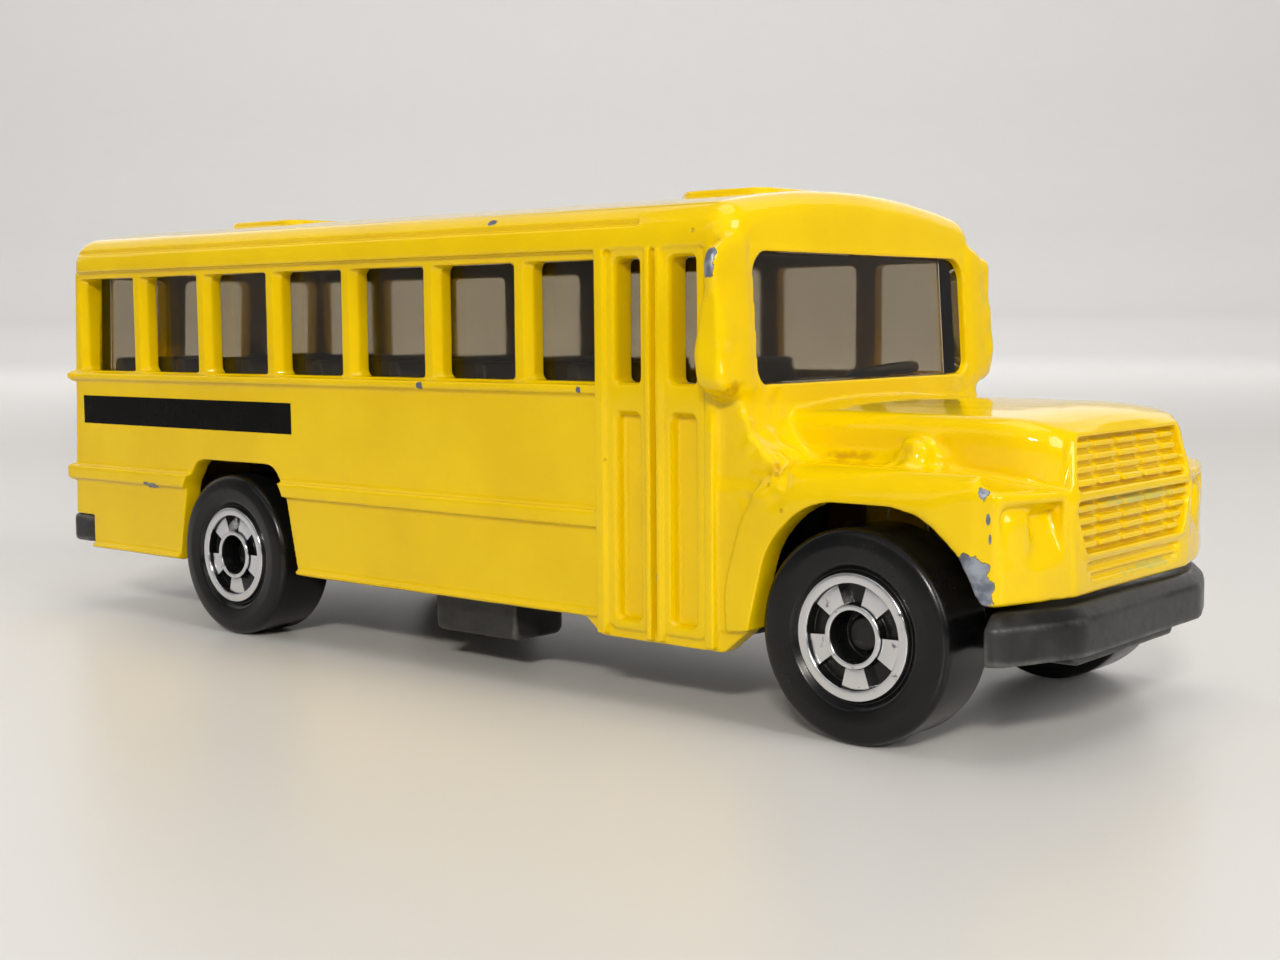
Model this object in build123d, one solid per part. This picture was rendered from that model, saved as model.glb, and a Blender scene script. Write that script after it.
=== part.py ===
from build123d import *
from math import atan2, cos, degrees, pi, radians, sin, sqrt, tan
import os

os.makedirs("parts", exist_ok=True)

# Overall sizes
bus_length = 76.8
panel_half = 11.8
hood_length = 15.3
wheelbase = 48.05
front_overhang = 8.85

# Wheels and axles
wheel_radius = 5.25
wheel_width = 4.2
wheel_proud = 0.2
tyre_shoulder = 0.9
axle_radius = 0.55
axle_head_radius = 0.9
axle_head_height = 0.35
bore_clearance = 0.05
axle_end_play = 0.15
spoke_count = 5
spoke_angle = 36.0
spoke_phase = -15.5
hub_ring_outer = 3.1
hub_ring_inner = 2.58
hub_eye_outer = 1.56
hub_pocket_radius = 1.27

# Heights, stacked from the ground up
arch_gap = 1.15
rear_arch_drop = 0.3
fender_rise = 1.75
hood_rise = 2.7
sill_rise = 1.0
window_height = 6.4
header_height = 0.5
band_height = 2.0
roof_crown_radius = 62.0
roof_shoulder = 1.9
drip_angle = 28.0
drip_depth = 0.38
skirt_z = 4.45
step_drop = 0.9
bumper_rise = 0.35

# Casting
wall = 1.2
roof_thickness = 1.9
band_proud = 0.4
rail_proud = 0.4
rear_lean = 1.2
front_lean = 0.065
corner_radius = 1.5
rear_corner_radius = 0.5
window_count = 6
pillar = 1.45
pillar_bevel = 0.42
front_window = 5.15
rear_post_width = 2.2
door_width = 7.75
door_setback = 1.6
windshield_margin = 1.4
windshield_rise = 0.25
glass_setback = 0.4
brick_gap = 0.24
mirror_reach = 1.95
mirror_depth = 1.75
mirror_top_depth = 0.85
flare_width = 1.5
flare_proud = 0.3
post_radius = 1.7
rivet_radius = 1.0
rivet_head = 1.7

# Inserts and base
fit = 0.05
glass_wall = 0.75
tray_floor = 0.8
tray_rise = 1.9
seat_back_height = 4.8
chair_drop = 1.2
seat_back = 0.9
aisle_half = 1.7
seat_margin = 0.25
base_bottom = 4.4
base_thickness = 1.2
base_gap = 0.15
wheel_gap = 0.6
bumper_height = 2.45
rear_bumper_height = 1.95
rear_bumper_wrap = 2.65
panel_drop = 0.95
peg_radius = 1.3

# Derived places
front_x = bus_length / 2
rear_x = -bus_length / 2
nose_x = front_x - 0.6
cowl_x = nose_x - hood_length
rear_wall_x = rear_x + 0.45
axle_z = wheel_radius
axle_front_x = nose_x - front_overhang
axle_rear_x = axle_front_x - wheelbase
wheel_face = panel_half + wheel_proud
wheel_inner = wheel_face - wheel_width
arch_top = 2 * wheel_radius + arch_gap
fender_top = arch_top + fender_rise
hood_top = fender_top + hood_rise
sill_z = hood_top + sill_rise
window_top = sill_z + window_height
band_z = window_top + header_height
band_half = panel_half + band_proud
roof_z = band_z + band_height + band_half**2 / (2 * roof_crown_radius)
roof_inner = roof_z - roof_thickness
base_top = base_bottom + base_thickness
tray_bottom = 2 * wheel_radius + tray_rise
tray_top = tray_bottom + tray_floor
fender_half = panel_half + 0.1
hood_half = panel_half - 3.55
nose_half = panel_half - 4.85
door_front = cowl_x - door_setback
door_rear = door_front - door_width
window_first = rear_wall_x + rear_post_width
window_last = door_rear - fit - front_window - pillar
window_pitch = (window_last + pillar - window_first) / window_count
window_width = window_pitch - pillar
mid_rail_z = skirt_z + 4.85
mid_rail_height = 1.15
sill_rail_height = 0.7
nose_low = skirt_z + 2.85
arch_scale = wheel_radius / 5.25
rear_arch_top = arch_top - rear_arch_drop
notch_x = rear_wall_x + rear_bumper_wrap
notch_top = skirt_z + bumper_rise + rear_bumper_height + fit
far = bus_length


def face_of(points):
    """Closed outline of (u, v) or (u, v, corner radius) points."""
    count = len(points)
    corners = []
    for index, point in enumerate(points):
        here = Vector(point[0], point[1])
        radius = point[2] if len(point) > 2 else 0.0
        before = points[index - 1]
        after = points[(index + 1) % count]
        to_before = (Vector(before[0], before[1]) - here).normalized()
        to_after = (Vector(after[0], after[1]) - here).normalized()
        if radius <= 0:
            corners.append((here, None, here))
            continue
        half = radians(to_before.get_angle(to_after)) / 2
        reach = radius / tan(half)
        middle = (to_before + to_after).normalized() * (radius / sin(half) - radius)
        corners.append((here + to_before * reach, here + middle, here + to_after * reach))
    edges = []
    for index, (start, middle, end) in enumerate(corners):
        if middle is not None:
            edges.append(ThreePointArc(start, middle, end))
        following = corners[(index + 1) % count][0]
        if (following - end).length > 1e-6:
            edges.append(Line(end, following))
    return make_face(edges)


def prism_x(points, start, end):
    """Outline in (y, z) pushed along x."""
    return extrude(Plane.YZ.offset(start) * face_of(points), amount=end - start)


def prism_y(points, start, end):
    """Outline in (x, z) pushed along y."""
    return extrude(Plane.XZ.offset(-end) * face_of(points), amount=end - start)


def prism_z(points, start, end):
    """Outline in (x, y) pushed along z."""
    return extrude(Plane.XY.offset(start) * face_of(points), amount=end - start)


def block(x0, x1, y0, y1, z0, z1):
    return Pos((x0 + x1) / 2, (y0 + y1) / 2, (z0 + z1) / 2) * Box(x1 - x0, y1 - y0, z1 - z0)


def rounded_rect(u0, u1, v0, v1, radius):
    return [(u0, v0, radius), (u1, v0, radius), (u1, v1, radius), (u0, v1, radius)]


def both_sides(part):
    return part + mirror(part, about=Plane.XZ)


def crowned_face(half, crown_z, crown_radius, shoulder, low_z):
    """Section in (y, z): upright sides, round shoulders and a crowned top."""
    centre_z = crown_z - crown_radius
    rise = sqrt((crown_radius - shoulder) ** 2 - (half - shoulder) ** 2)
    shoulder_z = centre_z + rise
    tilt = atan2(half - shoulder, rise)
    touch_y = crown_radius * sin(tilt)
    touch_z = centre_z + crown_radius * cos(tilt)
    middle = (pi / 2 + tilt) / 2
    mid_y = half - shoulder + shoulder * sin(middle)
    mid_z = shoulder_z + shoulder * cos(middle)
    return make_face(
        [
            Line((-half, low_z), (half, low_z)),
            Line((half, low_z), (half, shoulder_z)),
            ThreePointArc((half, shoulder_z), (mid_y, mid_z), (touch_y, touch_z)),
            ThreePointArc((touch_y, touch_z), (0, crown_z), (-touch_y, touch_z)),
            ThreePointArc((-touch_y, touch_z), (-mid_y, mid_z), (-half, shoulder_z)),
            Line((-half, shoulder_z), (-half, low_z)),
        ]
    )


def rear_at(z):
    return rear_wall_x + rear_lean * (z - skirt_z) / (roof_z - skirt_z)


def front_at(z):
    return cowl_x - max(0.0, z - sill_z) * front_lean


def cabin_side(inset, low, high):
    """Side outline in (x, z) between the two leaning ends of the cabin."""
    return [
        (rear_at(low) + inset, low),
        (rear_at(high) + inset, high),
        (front_at(high) - inset, high),
        (front_at(sill_z) - inset, sill_z),
        (front_at(sill_z) - inset, low),
    ]


def upright(edge):
    return abs(edge.tangent_at(0.5).Z) > 0.9


# Body casting
def cabin_outer():
    half = panel_half
    walls = prism_y(cabin_side(0, skirt_z, band_z), -half, half)
    corners = walls.edges().filter_by(upright).sort_by(Axis.X)
    walls = fillet(corners[:2], rear_corner_radius)
    corners = walls.edges().filter_by(upright).filter_by(lambda edge: edge.center().X > 0)
    walls = fillet(corners, corner_radius)
    section = crowned_face(band_half, roof_z, roof_crown_radius, roof_shoulder, band_z)
    cap = extrude(Plane.YZ.offset(-far) * section, amount=2 * far)
    ends = [
        (rear_at(band_z), band_z - 1),
        (rear_at(roof_z), roof_z + 1),
        (front_at(roof_z), roof_z + 1),
        (front_at(band_z), band_z - 1),
    ]
    cap = cap & prism_y(ends, -far, far)
    ends_of_cap = ShapeList()
    for end_face in (cap.faces().sort_by(Axis.X)[0], cap.faces().sort_by(Axis.X)[-1]):
        low = end_face.edges().sort_by(Axis.Z)[0]
        ends_of_cap += [edge for edge in end_face.edges() if edge != low]
    cap = fillet(ends_of_cap, corner_radius)
    return walls + cap


def cabin_core(inset, low, high):
    half = panel_half - inset
    core = prism_y(cabin_side(inset, low, high), -half, half)
    return fillet(core.edges().filter_by(upright), corner_radius - min(inset, 1.2) + 0.3)


def fender_block(inset, low):
    half = fender_half - inset
    nose = nose_x - inset
    top = fender_top - inset
    start = door_front + 0.05 - inset
    corner = half - 0.4
    flat = nose_half - 1.4
    bend = nose_half + 2.0
    plan = [
        (start, -half),
        (nose - 3.4, -half, 3.0),
        (nose - 1.4, -corner, 0.5),
        (nose - 0.5, -bend, 4.0),
        (nose, -flat, 4.0),
        (nose, flat, 4.0),
        (nose - 0.5, bend, 4.0),
        (nose - 1.4, corner, 0.5),
        (nose - 3.4, half, 3.0),
        (start, half),
    ]
    side = [
        (start, low),
        (start, top),
        (nose - 6.0, top - 0.1, 6.0),
        (nose - 2.2, top - 0.75, 1.2),
        (nose + 1.0, top - 1.3),
        (nose + 1.0, low),
    ]
    section = [
        (-half, low),
        (half, low),
        (half, top, 1.7),
        (-half, top, 1.7),
    ]
    shape = prism_z(plan, low, top + 1) & prism_y(side, -half - 1, half + 1)
    return shape & prism_x(section, start - 1, nose + 2)


def hood_block():
    """Hood with a soft roll down to the nose and in at its front corners."""
    low = fender_top - 3.0
    roll = 3.4
    steps = 7
    stations = [(cowl_x - 1.0, hood_half, hood_top + 0.1, 1.0)]
    for index in range(steps + 1):
        t = index / steps
        bend = (1 - sqrt(1 - (0.95 * t) ** 2)) / (1 - sqrt(1 - 0.95**2))
        half = hood_half - 0.1 - (hood_half - nose_half) * bend
        crown = hood_top - 0.02 - 0.85 * bend
        stations.append((nose_x - 0.62 - roll * (1 - t), half, crown, 1.0 + 0.3 * bend))
    faces = []
    for x, half, crown, shoulder in stations:
        faces.append(Plane.YZ.offset(x) * crowned_face(half, crown, 64.0, shoulder, low))
    return loft(faces, ruled=True)


def nose_side(setback):
    """Leaning nose face in (x, z), seen from the side."""
    return [
        (nose_x - 1.6, nose_low),
        (nose_x - setback, nose_low),
        (nose_x - 0.05 - setback, arch_top + 0.25),
        (nose_x - 0.6 - setback, hood_top - 1.05),
        (nose_x - 1.6, hood_top - 1.05),
    ]


def nose_plate():
    outline = [
        (-nose_half + 0.45, nose_low),
        (nose_half - 0.45, nose_low),
        (nose_half + 0.02, arch_top + 0.25, 0.3),
        (nose_half - 0.95, hood_top - 1.05, 0.4),
        (-nose_half + 0.95, hood_top - 1.05, 0.4),
        (-nose_half - 0.02, arch_top + 0.25, 0.3),
    ]
    return prism_x(outline, nose_x - 3.0, nose_x + 1.0) & prism_y(nose_side(0), -far, far)


def coves():
    """Soft inside corners at the cowl and along the hood."""
    top = sill_z - 0.5
    reach = 2.0
    low = fender_top - 1.0
    cowl = make_face(
        [
            Line((cowl_x - 1.0, low), (cowl_x + reach, low)),
            Line((cowl_x + reach, low), (cowl_x + reach, fender_top - 0.05)),
            ThreePointArc(
                (cowl_x + reach, fender_top - 0.05),
                (cowl_x + 0.62, fender_top + 1.15),
                (cowl_x - 0.05, top),
            ),
            Line((cowl_x - 0.05, top), (cowl_x - 1.0, top)),
            Line((cowl_x - 1.0, top), (cowl_x - 1.0, low)),
        ]
    )
    half = panel_half - 0.02
    shape = extrude(Plane.XZ.offset(-half) * cowl, amount=2 * half)
    y_in = hood_half - 0.6
    y_out = hood_half + 0.75
    along = make_face(
        [
            Line((y_in, low), (y_out, low)),
            Line((y_out, low), (y_out, fender_top - 0.12)),
            ThreePointArc(
                (y_out, fender_top - 0.12),
                (hood_half + 0.12, fender_top + 0.3),
                (hood_half - 0.3, fender_top + 1.0),
            ),
            Line((hood_half - 0.3, fender_top + 1.0), (y_in, fender_top + 1.0)),
            Line((y_in, fender_top + 1.0), (y_in, low)),
        ]
    )
    side = extrude(Plane.YZ.offset(cowl_x) * along, amount=hood_length - 2.0)
    fade = [
        (cowl_x - 1, y_in - 1),
        (cowl_x - 1, y_out + 1),
        (cowl_x + 6.0, y_out + 0.02, 6.0),
        (nose_x - 3.0, hood_half - 0.5),
        (nose_x - 3.0, y_in - 1),
    ]
    side = side & prism_z(fade, low - 1, fender_top + 2)
    return shape + both_sides(side)


def arch_front():
    scale = arch_scale
    centre = axle_front_x + 0.4
    low = skirt_z - 3.0
    return [
        (centre - 6.9 * scale, low),
        (centre - 6.25 * scale, axle_z + 0.05),
        (centre - 5.2 * scale, axle_z + 4.05 * scale, 4.2 * scale),
        (centre - 2.9 * scale, arch_top, 4.0 * scale),
        (centre + 3.1 * scale, arch_top, 4.0 * scale),
        (centre + 5.25 * scale, axle_z + 4.25 * scale, 3.0 * scale),
        (centre + 6.5 * scale, axle_z + 1.35 * scale),
        (centre + 6.9 * scale, low),
    ]


def arch_rear():
    scale = arch_scale
    centre = axle_rear_x + 0.4
    low = skirt_z - 3.0
    return [
        (centre - 6.9 * scale, low),
        (centre - 5.3 * scale, axle_z + 4.35 * scale, 1.6 * scale),
        (centre - 4.1 * scale, rear_arch_top, 1.4 * scale),
        (centre + 4.0 * scale, rear_arch_top, 1.4 * scale),
        (centre + 5.15 * scale, axle_z + 4.35 * scale, 1.6 * scale),
        (centre + 6.9 * scale, low),
    ]


def flares():
    """Fender bulge round the front arch, proud of the cowl side and fading out at the nose."""
    scale = arch_scale
    centre = axle_front_x + 0.4
    half = fender_half + flare_proud
    inner = fender_half - 1.0
    low = skirt_z - 1.0
    top = fender_top - 0.04
    back = centre - 6.4 * scale - flare_width
    outline = [
        (back + 0.3, low),
        (back, axle_z + 1.6, 5.0),
        (back + 1.0, axle_z + 5.0 * scale, 4.0),
        (back + 3.2, top + 1.0),
        (nose_x, top + 1.0),
        (nose_x, low),
    ]
    plan = [
        (back - 1, inner),
        (back - 1, half),
        (nose_x - 4.8, half, 4.0),
        (nose_x - 2.4, fender_half - 0.1),
        (nose_x - 2.4, inner),
    ]
    section = [
        (inner - 2, low - 1),
        (half, low - 1),
        (half, top, 1.8),
        (inner - 2, top),
    ]
    flare = prism_y(outline, inner, half + 1) & prism_z(plan, low, top + 1)
    flare = flare & prism_x(section, back - 2, nose_x)
    face = flare.faces().filter_by(Plane.XZ).sort_by(Axis.Y)[-1]
    rear = [edge for edge in face.edges() if edge.center().X < back + 2.4 and edge.center().Z < top - 1.9]
    rear = [edge for edge in rear if edge.center().Z > low + 0.1]
    return both_sides(fillet(rear, 0.22))


def wheel_arches():
    outer = panel_half + 2
    cut = prism_y(arch_front(), wheel_inner - 0.5, outer)
    cut += prism_y(arch_rear(), wheel_inner - 0.5, outer)
    return both_sides(cut)


def window_cut(x0, x1, side):
    """One side window with bevelled pillars; side is -1 on the right and 1 on the left."""
    outer = panel_half
    straight = [(x0, sill_z, 0.4), (x1, sill_z, 0.4), (x1, window_top, 0.4), (x0, window_top, 0.4)]
    depth = sorted((side * (outer - wall - 1.0), side * (outer + 1.0)))
    cut = prism_y(straight, depth[0], depth[1])
    flare = [
        (x0 - pillar_bevel, side * (outer + 0.02)),
        (x1 + pillar_bevel, side * (outer + 0.02)),
        (x1, side * (outer - pillar_bevel)),
        (x0, side * (outer - pillar_bevel)),
    ]
    return cut + prism_z(flare, sill_z, window_top)


def side_windows():
    cuts = Part()
    for index in range(window_count):
        x0 = window_first + index * window_pitch
        for side in (-1, 1):
            cuts += window_cut(x0, x0 + window_width, side)
    x0 = window_last + pillar
    cuts += window_cut(x0, x0 + front_window, -1)
    cuts += window_cut(x0, x0 + window_width, 1)
    cuts += window_cut(x0 + window_pitch, door_front - 0.45, 1)
    return cuts


def windshield(inset):
    half = panel_half - windshield_margin - inset
    low = sill_z - 0.05 + inset
    high = window_top + windshield_rise - inset
    return [(-half, low, 0.9), (half, low, 0.9), (half, high, 1.3), (-half, high, 1.3)]


def end_windows():
    cuts = prism_x(windshield(0), cowl_x - 4, cowl_x + 2)
    start = rear_x - 2
    end = rear_wall_x + wall + 3
    centre = 2.9
    cuts += prism_x(rounded_rect(-centre, centre, sill_z, window_top, 0.6), start, end)
    inner = centre + 1.7
    outer = panel_half - 2.4
    side = prism_x(rounded_rect(inner, outer, sill_z, window_top, 0.6), start, end)
    return cuts + both_sides(side)


def rail(y_face, z, height, x0, x1):
    """Raised rail with sloped flanks on the right side."""
    section = [
        (-y_face + 0.3, z - 0.1),
        (-y_face - rail_proud, z + 0.12),
        (-y_face - rail_proud, z + height - 0.2),
        (-y_face + 0.3, z + height),
    ]
    return prism_x(section, x0, x1)


def rails():
    sill = sill_z - sill_rail_height
    rows = [
        # height above the ground, rail height
        (sill, sill_rail_height),
        (mid_rail_z, mid_rail_height),
    ]
    shape = Part()
    reach = panel_half + rail_proud - 0.12
    for z, height in rows:
        at = rear_at(z)
        right = rail(panel_half, z, height, at - 0.2, door_rear)
        left = rail(panel_half, z, height, at - 0.2, cowl_x - 1.6)
        shape += right + mirror(left, about=Plane.XZ)
        profile = [
            (at + 0.3, z - 0.1),
            (at - 0.3, z + 0.12),
            (at - 0.3, z + height - 0.2),
            (at + 0.3, z + height),
        ]
        shape += prism_y(profile, -reach, reach)
    right = rail(panel_half - 0.15, skirt_z, 0.5, rear_wall_x + 0.4, door_rear)
    left = rail(panel_half - 0.15, skirt_z, 0.5, rear_wall_x + 0.4, cowl_x - 1.0)
    return shape + right + mirror(left, about=Plane.XZ)


def drip_groove():
    """Fine line along each roof shoulder, cut square to the rounded surface."""
    slope = band_half / roof_crown_radius
    y = band_half - roof_shoulder
    z = band_z + band_height + roof_shoulder * (slope - sqrt(1 + slope**2))
    turn = radians(drip_angle)

    def at(reach, aside):
        return (-y - reach * cos(turn) + aside * sin(turn), z + reach * sin(turn) + aside * cos(turn))

    section = [
        at(roof_shoulder - drip_depth, 0),
        at(roof_shoulder + drip_depth, drip_depth),
        at(roof_shoulder + drip_depth, -drip_depth),
    ]
    return both_sides(prism_x(section, rear_x, cowl_x - 6.5))


def door_step():
    low = skirt_z - step_drop
    outline = [
        (door_rear - 1.6, skirt_z + 0.3),
        (door_rear - 0.1, low, 0.4),
        (door_front + 0.35, low, 0.5),
        (door_front + 2.0, skirt_z + 0.45),
        (door_front + 2.0, skirt_z + 1.6),
        (door_rear - 1.6, skirt_z + 1.6),
    ]
    return prism_y(outline, -panel_half, -panel_half + wall)


def door_relief(body):
    """Two folding leaves with sunk panels, window slits and posts, parted by a slot."""
    low = skirt_z - step_drop + 0.55
    face = -panel_half
    middle = (door_front + door_rear) / 2
    leaf = door_width / 2
    for centre in (middle - leaf / 2 + 0.1, middle + leaf / 2 - 0.1):
        x0 = centre - 0.75
        x1 = centre + 0.75
        panel = rounded_rect(x0, x1, low + 0.6, sill_z - 1.6, 0.35)
        body -= prism_y(panel, face - 1, face + 0.4)
        slit = rounded_rect(x0 - 0.1, x1 + 0.1, sill_z, window_top, 0.35)
        body -= prism_y(slit, face - 1, face + wall + 1)
        ring = rounded_rect(x0 - 0.55, x1 + 0.55, low, band_z - 0.15, 0.3)
        hole = rounded_rect(x0 - 0.1, x1 + 0.1, low + 0.5, sill_z - 1.5, 0.35)
        upper = rounded_rect(x0 - 0.15, x1 + 0.15, sill_z - 0.1, window_top + 0.1, 0.35)
        raised = prism_y(ring, face - 0.24, face + 0.2)
        raised -= prism_y(hole, face - 1, face + 1)
        raised -= prism_y(upper, face - 1, face + 1)
        body += raised
    posts = [
        # place along the side, half width
        (door_rear + 0.25, 0.28),
        (middle - 0.36, 0.15),
        (middle + 0.36, 0.15),
        (door_front - 0.25, 0.28),
    ]
    for x, half in posts:
        post = [
            (x - half - 0.12, face + 0.2),
            (x - half, face - 0.45),
            (x + half, face - 0.45),
            (x + half + 0.12, face + 0.2),
        ]
        body += prism_z(post, low - 0.35, band_z)
    return body - block(middle - 0.12, middle + 0.12, face - 1, face + 0.3, low, window_top)


def brick_field(rows, columns, z0, z1, half, depth):
    """Even grid of raised bricks in the grille, as one pattern of bars."""
    row_pitch = (z1 - z0) / rows
    column_pitch = 2 * half / columns
    brick_height = row_pitch - brick_gap
    bricks = Part()
    for row in range(rows):
        z = z0 + (row + 0.5) * row_pitch
        bricks += block(nose_x - 1.1, nose_x + 1, -half, half, z - brick_height / 2, z + brick_height / 2)
    for column in range(1, columns):
        y = -half + column * column_pitch
        bricks -= block(nose_x - 3, nose_x + 2, y - brick_gap / 2, y + brick_gap / 2, z0 - 1, z1 + 1)
    return bricks


def grille(body):
    depth = 0.45
    fields = [
        # low z, high z, low half width, high half width, rows
        (arch_top + 0.55, hood_top - 1.4, 6.35, 5.6, 4),
        (nose_low + 1.95, arch_top + 0.1, 5.5, 6.6, 4),
    ]
    scale = nose_half / 6.95
    for z0, z1, low_half, high_half, rows in fields:
        low_half *= scale
        high_half *= scale
        outline = [
            (-low_half, z0, 0.35),
            (low_half, z0, 0.35),
            (high_half, z1, 0.35),
            (-high_half, z1, 0.35),
        ]
        inner = [
            (-low_half + 0.2, z0 + 0.1),
            (low_half - 0.2, z0 + 0.1),
            (high_half - 0.2, z1 - 0.1),
            (-high_half + 0.2, z1 - 0.1),
        ]
        rim = [
            (-low_half - 0.28, z0 - 0.2, 0.4),
            (low_half + 0.28, z0 - 0.2, 0.4),
            (high_half + 0.28, z1 + 0.2, 0.4),
            (-high_half - 0.28, z1 + 0.2, 0.4),
        ]
        sunk = prism_x(outline, nose_x - 3, nose_x + 2)
        body += prism_x(rim, nose_x - 1.1, nose_x + 2) & prism_y(nose_side(-0.12), -far, far)
        body -= sunk - prism_y(nose_side(depth), -far, far)
        field = brick_field(rows, 5, z0 + 0.1, z1 - 0.1, max(low_half, high_half), depth)
        field = field & prism_x(inner, nose_x - 3, nose_x + 2)
        body += field & prism_y(nose_side(0.03), -far, far)
    for z, half in ((nose_low + 1.3, 5.3 * scale), (nose_low + 0.8, 4.9 * scale)):
        slot = rounded_rect(-half, half, z - 0.15, z + 0.15, 0.12)
        body -= prism_x(slot, nose_x - 0.32, nose_x + 2)
    return body


def headlights(body):
    """Lamp bays in the fender fronts: a flush square lens outside, a deep sloped bay inside."""
    run = fender_half - nose_half
    centre_x = nose_x - 0.72
    centre_y = nose_half + run / 2 - 0.2
    centre_z = nose_low + 3.15
    along = Vector(-1.15, run, 0).normalized()
    outward = Vector(run, 1.15, 0).normalized()
    lamp = Plane(origin=(centre_x, centre_y, centre_z), x_dir=along, z_dir=outward)
    high = 1.4
    wide = run / 2 - 0.45
    side = Plane(origin=lamp.origin, x_dir=outward, z_dir=along)
    bay = [
        # depth below the face, height
        (1.2, -high),
        (0.02, -high),
        (-0.5, high, 0.2),
        (1.2, high),
    ]
    bay = extrude(side.offset(-wide) * face_of([(row[0], -row[1], *row[2:]) for row in bay]), amount=2 * wide)
    deep = [
        (0.6, -high + 0.3),
        (-0.02, -high + 0.3),
        (-0.95, high - 0.35, 0.2),
        (0.6, high - 0.35),
    ]
    deep = extrude(side.offset(-wide + 0.1) * face_of([(row[0], -row[1], *row[2:]) for row in deep]), amount=wide - 0.2)
    cut = bay + deep
    cut += mirror(cut, about=Plane.XZ)
    lens = face_of(rounded_rect(0.12, wide - 0.22, -high + 0.3, high - 0.3, 0.35))
    lens = extrude(lamp.offset(-0.8) * lens, amount=0.75)
    lens = fillet(lens.edges().sort_by(lambda edge: (edge.center() - lamp.origin).dot(outward))[-8:], 0.3)
    body -= cut
    return body + both_sides(lens)


def lamps():
    """Turn lamps on the hood sides and round lamps at the rear."""
    x = cowl_x + 8.0
    y = hood_half + 0.55
    lump = extrude(Rectangle(2.0, 1.8), amount=1.6, taper=9)
    lump = fillet(lump.edges().sort_by(Axis.Z)[4:], 0.45)
    shape = Pos(x, y, fender_top - 0.35) * lump
    rear = [
        # height, distance from the middle, radius
        (mid_rail_z - 1.3, panel_half - 2.4, 0.85),
        (mid_rail_z + 3.2, panel_half - 2.4, 1.15),
        (band_z + 0.9, 5.6, 0.8),
        (band_z + 0.9, 8.0, 0.8),
    ]
    for z, y, radius in rear:
        boss = Pos(rear_at(z) + 0.2, y, z) * Rot(0, 90, 0) * Cylinder(radius, 1.0)
        shape += boss
    return both_sides(shape)


def mirrors():
    """Upright lobes cast on the front corners, flush with the pillars, leaning with them and thin at the top."""
    y = panel_half
    root = y - windshield_margin + 0.45
    outline = [
        (root, sill_z - 0.6),
        (y + 1.0, sill_z - 0.6, 0.6),
        (y + mirror_reach, sill_z + 0.1, 0.9),
        (y + mirror_reach - 0.1, window_top + 0.3, 0.5),
        (y + 0.4, band_z + 0.5, 0.4),
        (root, band_z + 0.6),
    ]
    front = front_at(sill_z) + 0.1
    side = [
        (front, sill_z - 0.8),
        (front, band_z + 1.0),
        (front - mirror_top_depth, band_z + 1.0),
        (front - mirror_top_depth, window_top - 0.6, 1.5),
        (front - mirror_depth, sill_z + 1.8, 2.0),
        (front - mirror_depth, sill_z - 0.8),
    ]
    bar = prism_x(outline, front - mirror_depth - 1, front + 1) & prism_y(side, root - 1, y + 4)
    rim = bar.edges().filter_by(lambda edge: edge.center().Y > y + 0.6)
    bar = fillet(rim.filter_by(lambda edge: abs(edge.tangent_at(0.5).X) < 0.1), 0.35)
    lean = Rot(0, -degrees(atan2(front_lean, 1)), 0)
    bar = Pos(front, 0, sill_z) * lean * Pos(-front, 0, -sill_z) * bar
    return both_sides(bar)


def hatches():
    rows = [
        # rear end, front end, half width, height
        (cowl_x - 10.9, cowl_x - 4.6, 3.6, 0.32),
        (rear_wall_x + 8.0, rear_wall_x + 15.5, 3.6, 0.32),
    ]
    shape = Part()
    for x0, x1, half, height in rows:
        plate = prism_z(rounded_rect(x0, x1, -half, half, 1.2), roof_z - 1.2, roof_z + height)
        top = plate.faces().sort_by(Axis.Z)[-1]
        shape += fillet(top.edges(), 0.25)
    return shape


def rear_door(body):
    """Emergency door outline sunk into the rear wall."""
    low = notch_top + 0.4
    high = window_top + 0.8
    half = 3.9
    outer = prism_x(rounded_rect(-half, half, low, high, 0.5), rear_x - 3, rear_x + 4)
    inner = prism_x(rounded_rect(-half + 0.35, half - 0.35, low + 0.35, high - 0.35, 0.4), rear_x - 4, rear_x + 5)
    skin = prism_y(cabin_side(0.25, skirt_z - 2, roof_z + 2), -far, far)
    return body - ((outer - inner) - skin)


panel_x = (axle_front_x + axle_rear_x) / 2 - 3.0
post_front_x = cowl_x + 1.6
post_rear_x = rear_wall_x + wall + post_radius - 0.3


def posts():
    """Cast posts that hold the base, with rivet ends turned over below it."""
    shape = Part()
    for x, top in ((post_front_x, hood_top - 0.5), (post_rear_x, tray_bottom - 0.5)):
        shape += Pos(x, 0, (base_top + top) / 2) * Cylinder(post_radius, top - base_top)
        low = base_bottom - 0.55
        shape += Pos(x, 0, (low + base_top + 0.2) / 2) * Cylinder(rivet_radius, base_top + 0.2 - low)
        head = Pos(x, 0, base_bottom - 0.3) * Cylinder(rivet_head, 0.6)
        shape += fillet(head.edges().sort_by(Axis.Z)[0], 0.4)
    web = block(rear_wall_x + 0.6, post_rear_x, -0.6, 0.6, notch_top, tray_bottom - 0.5)
    return shape + web


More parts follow.
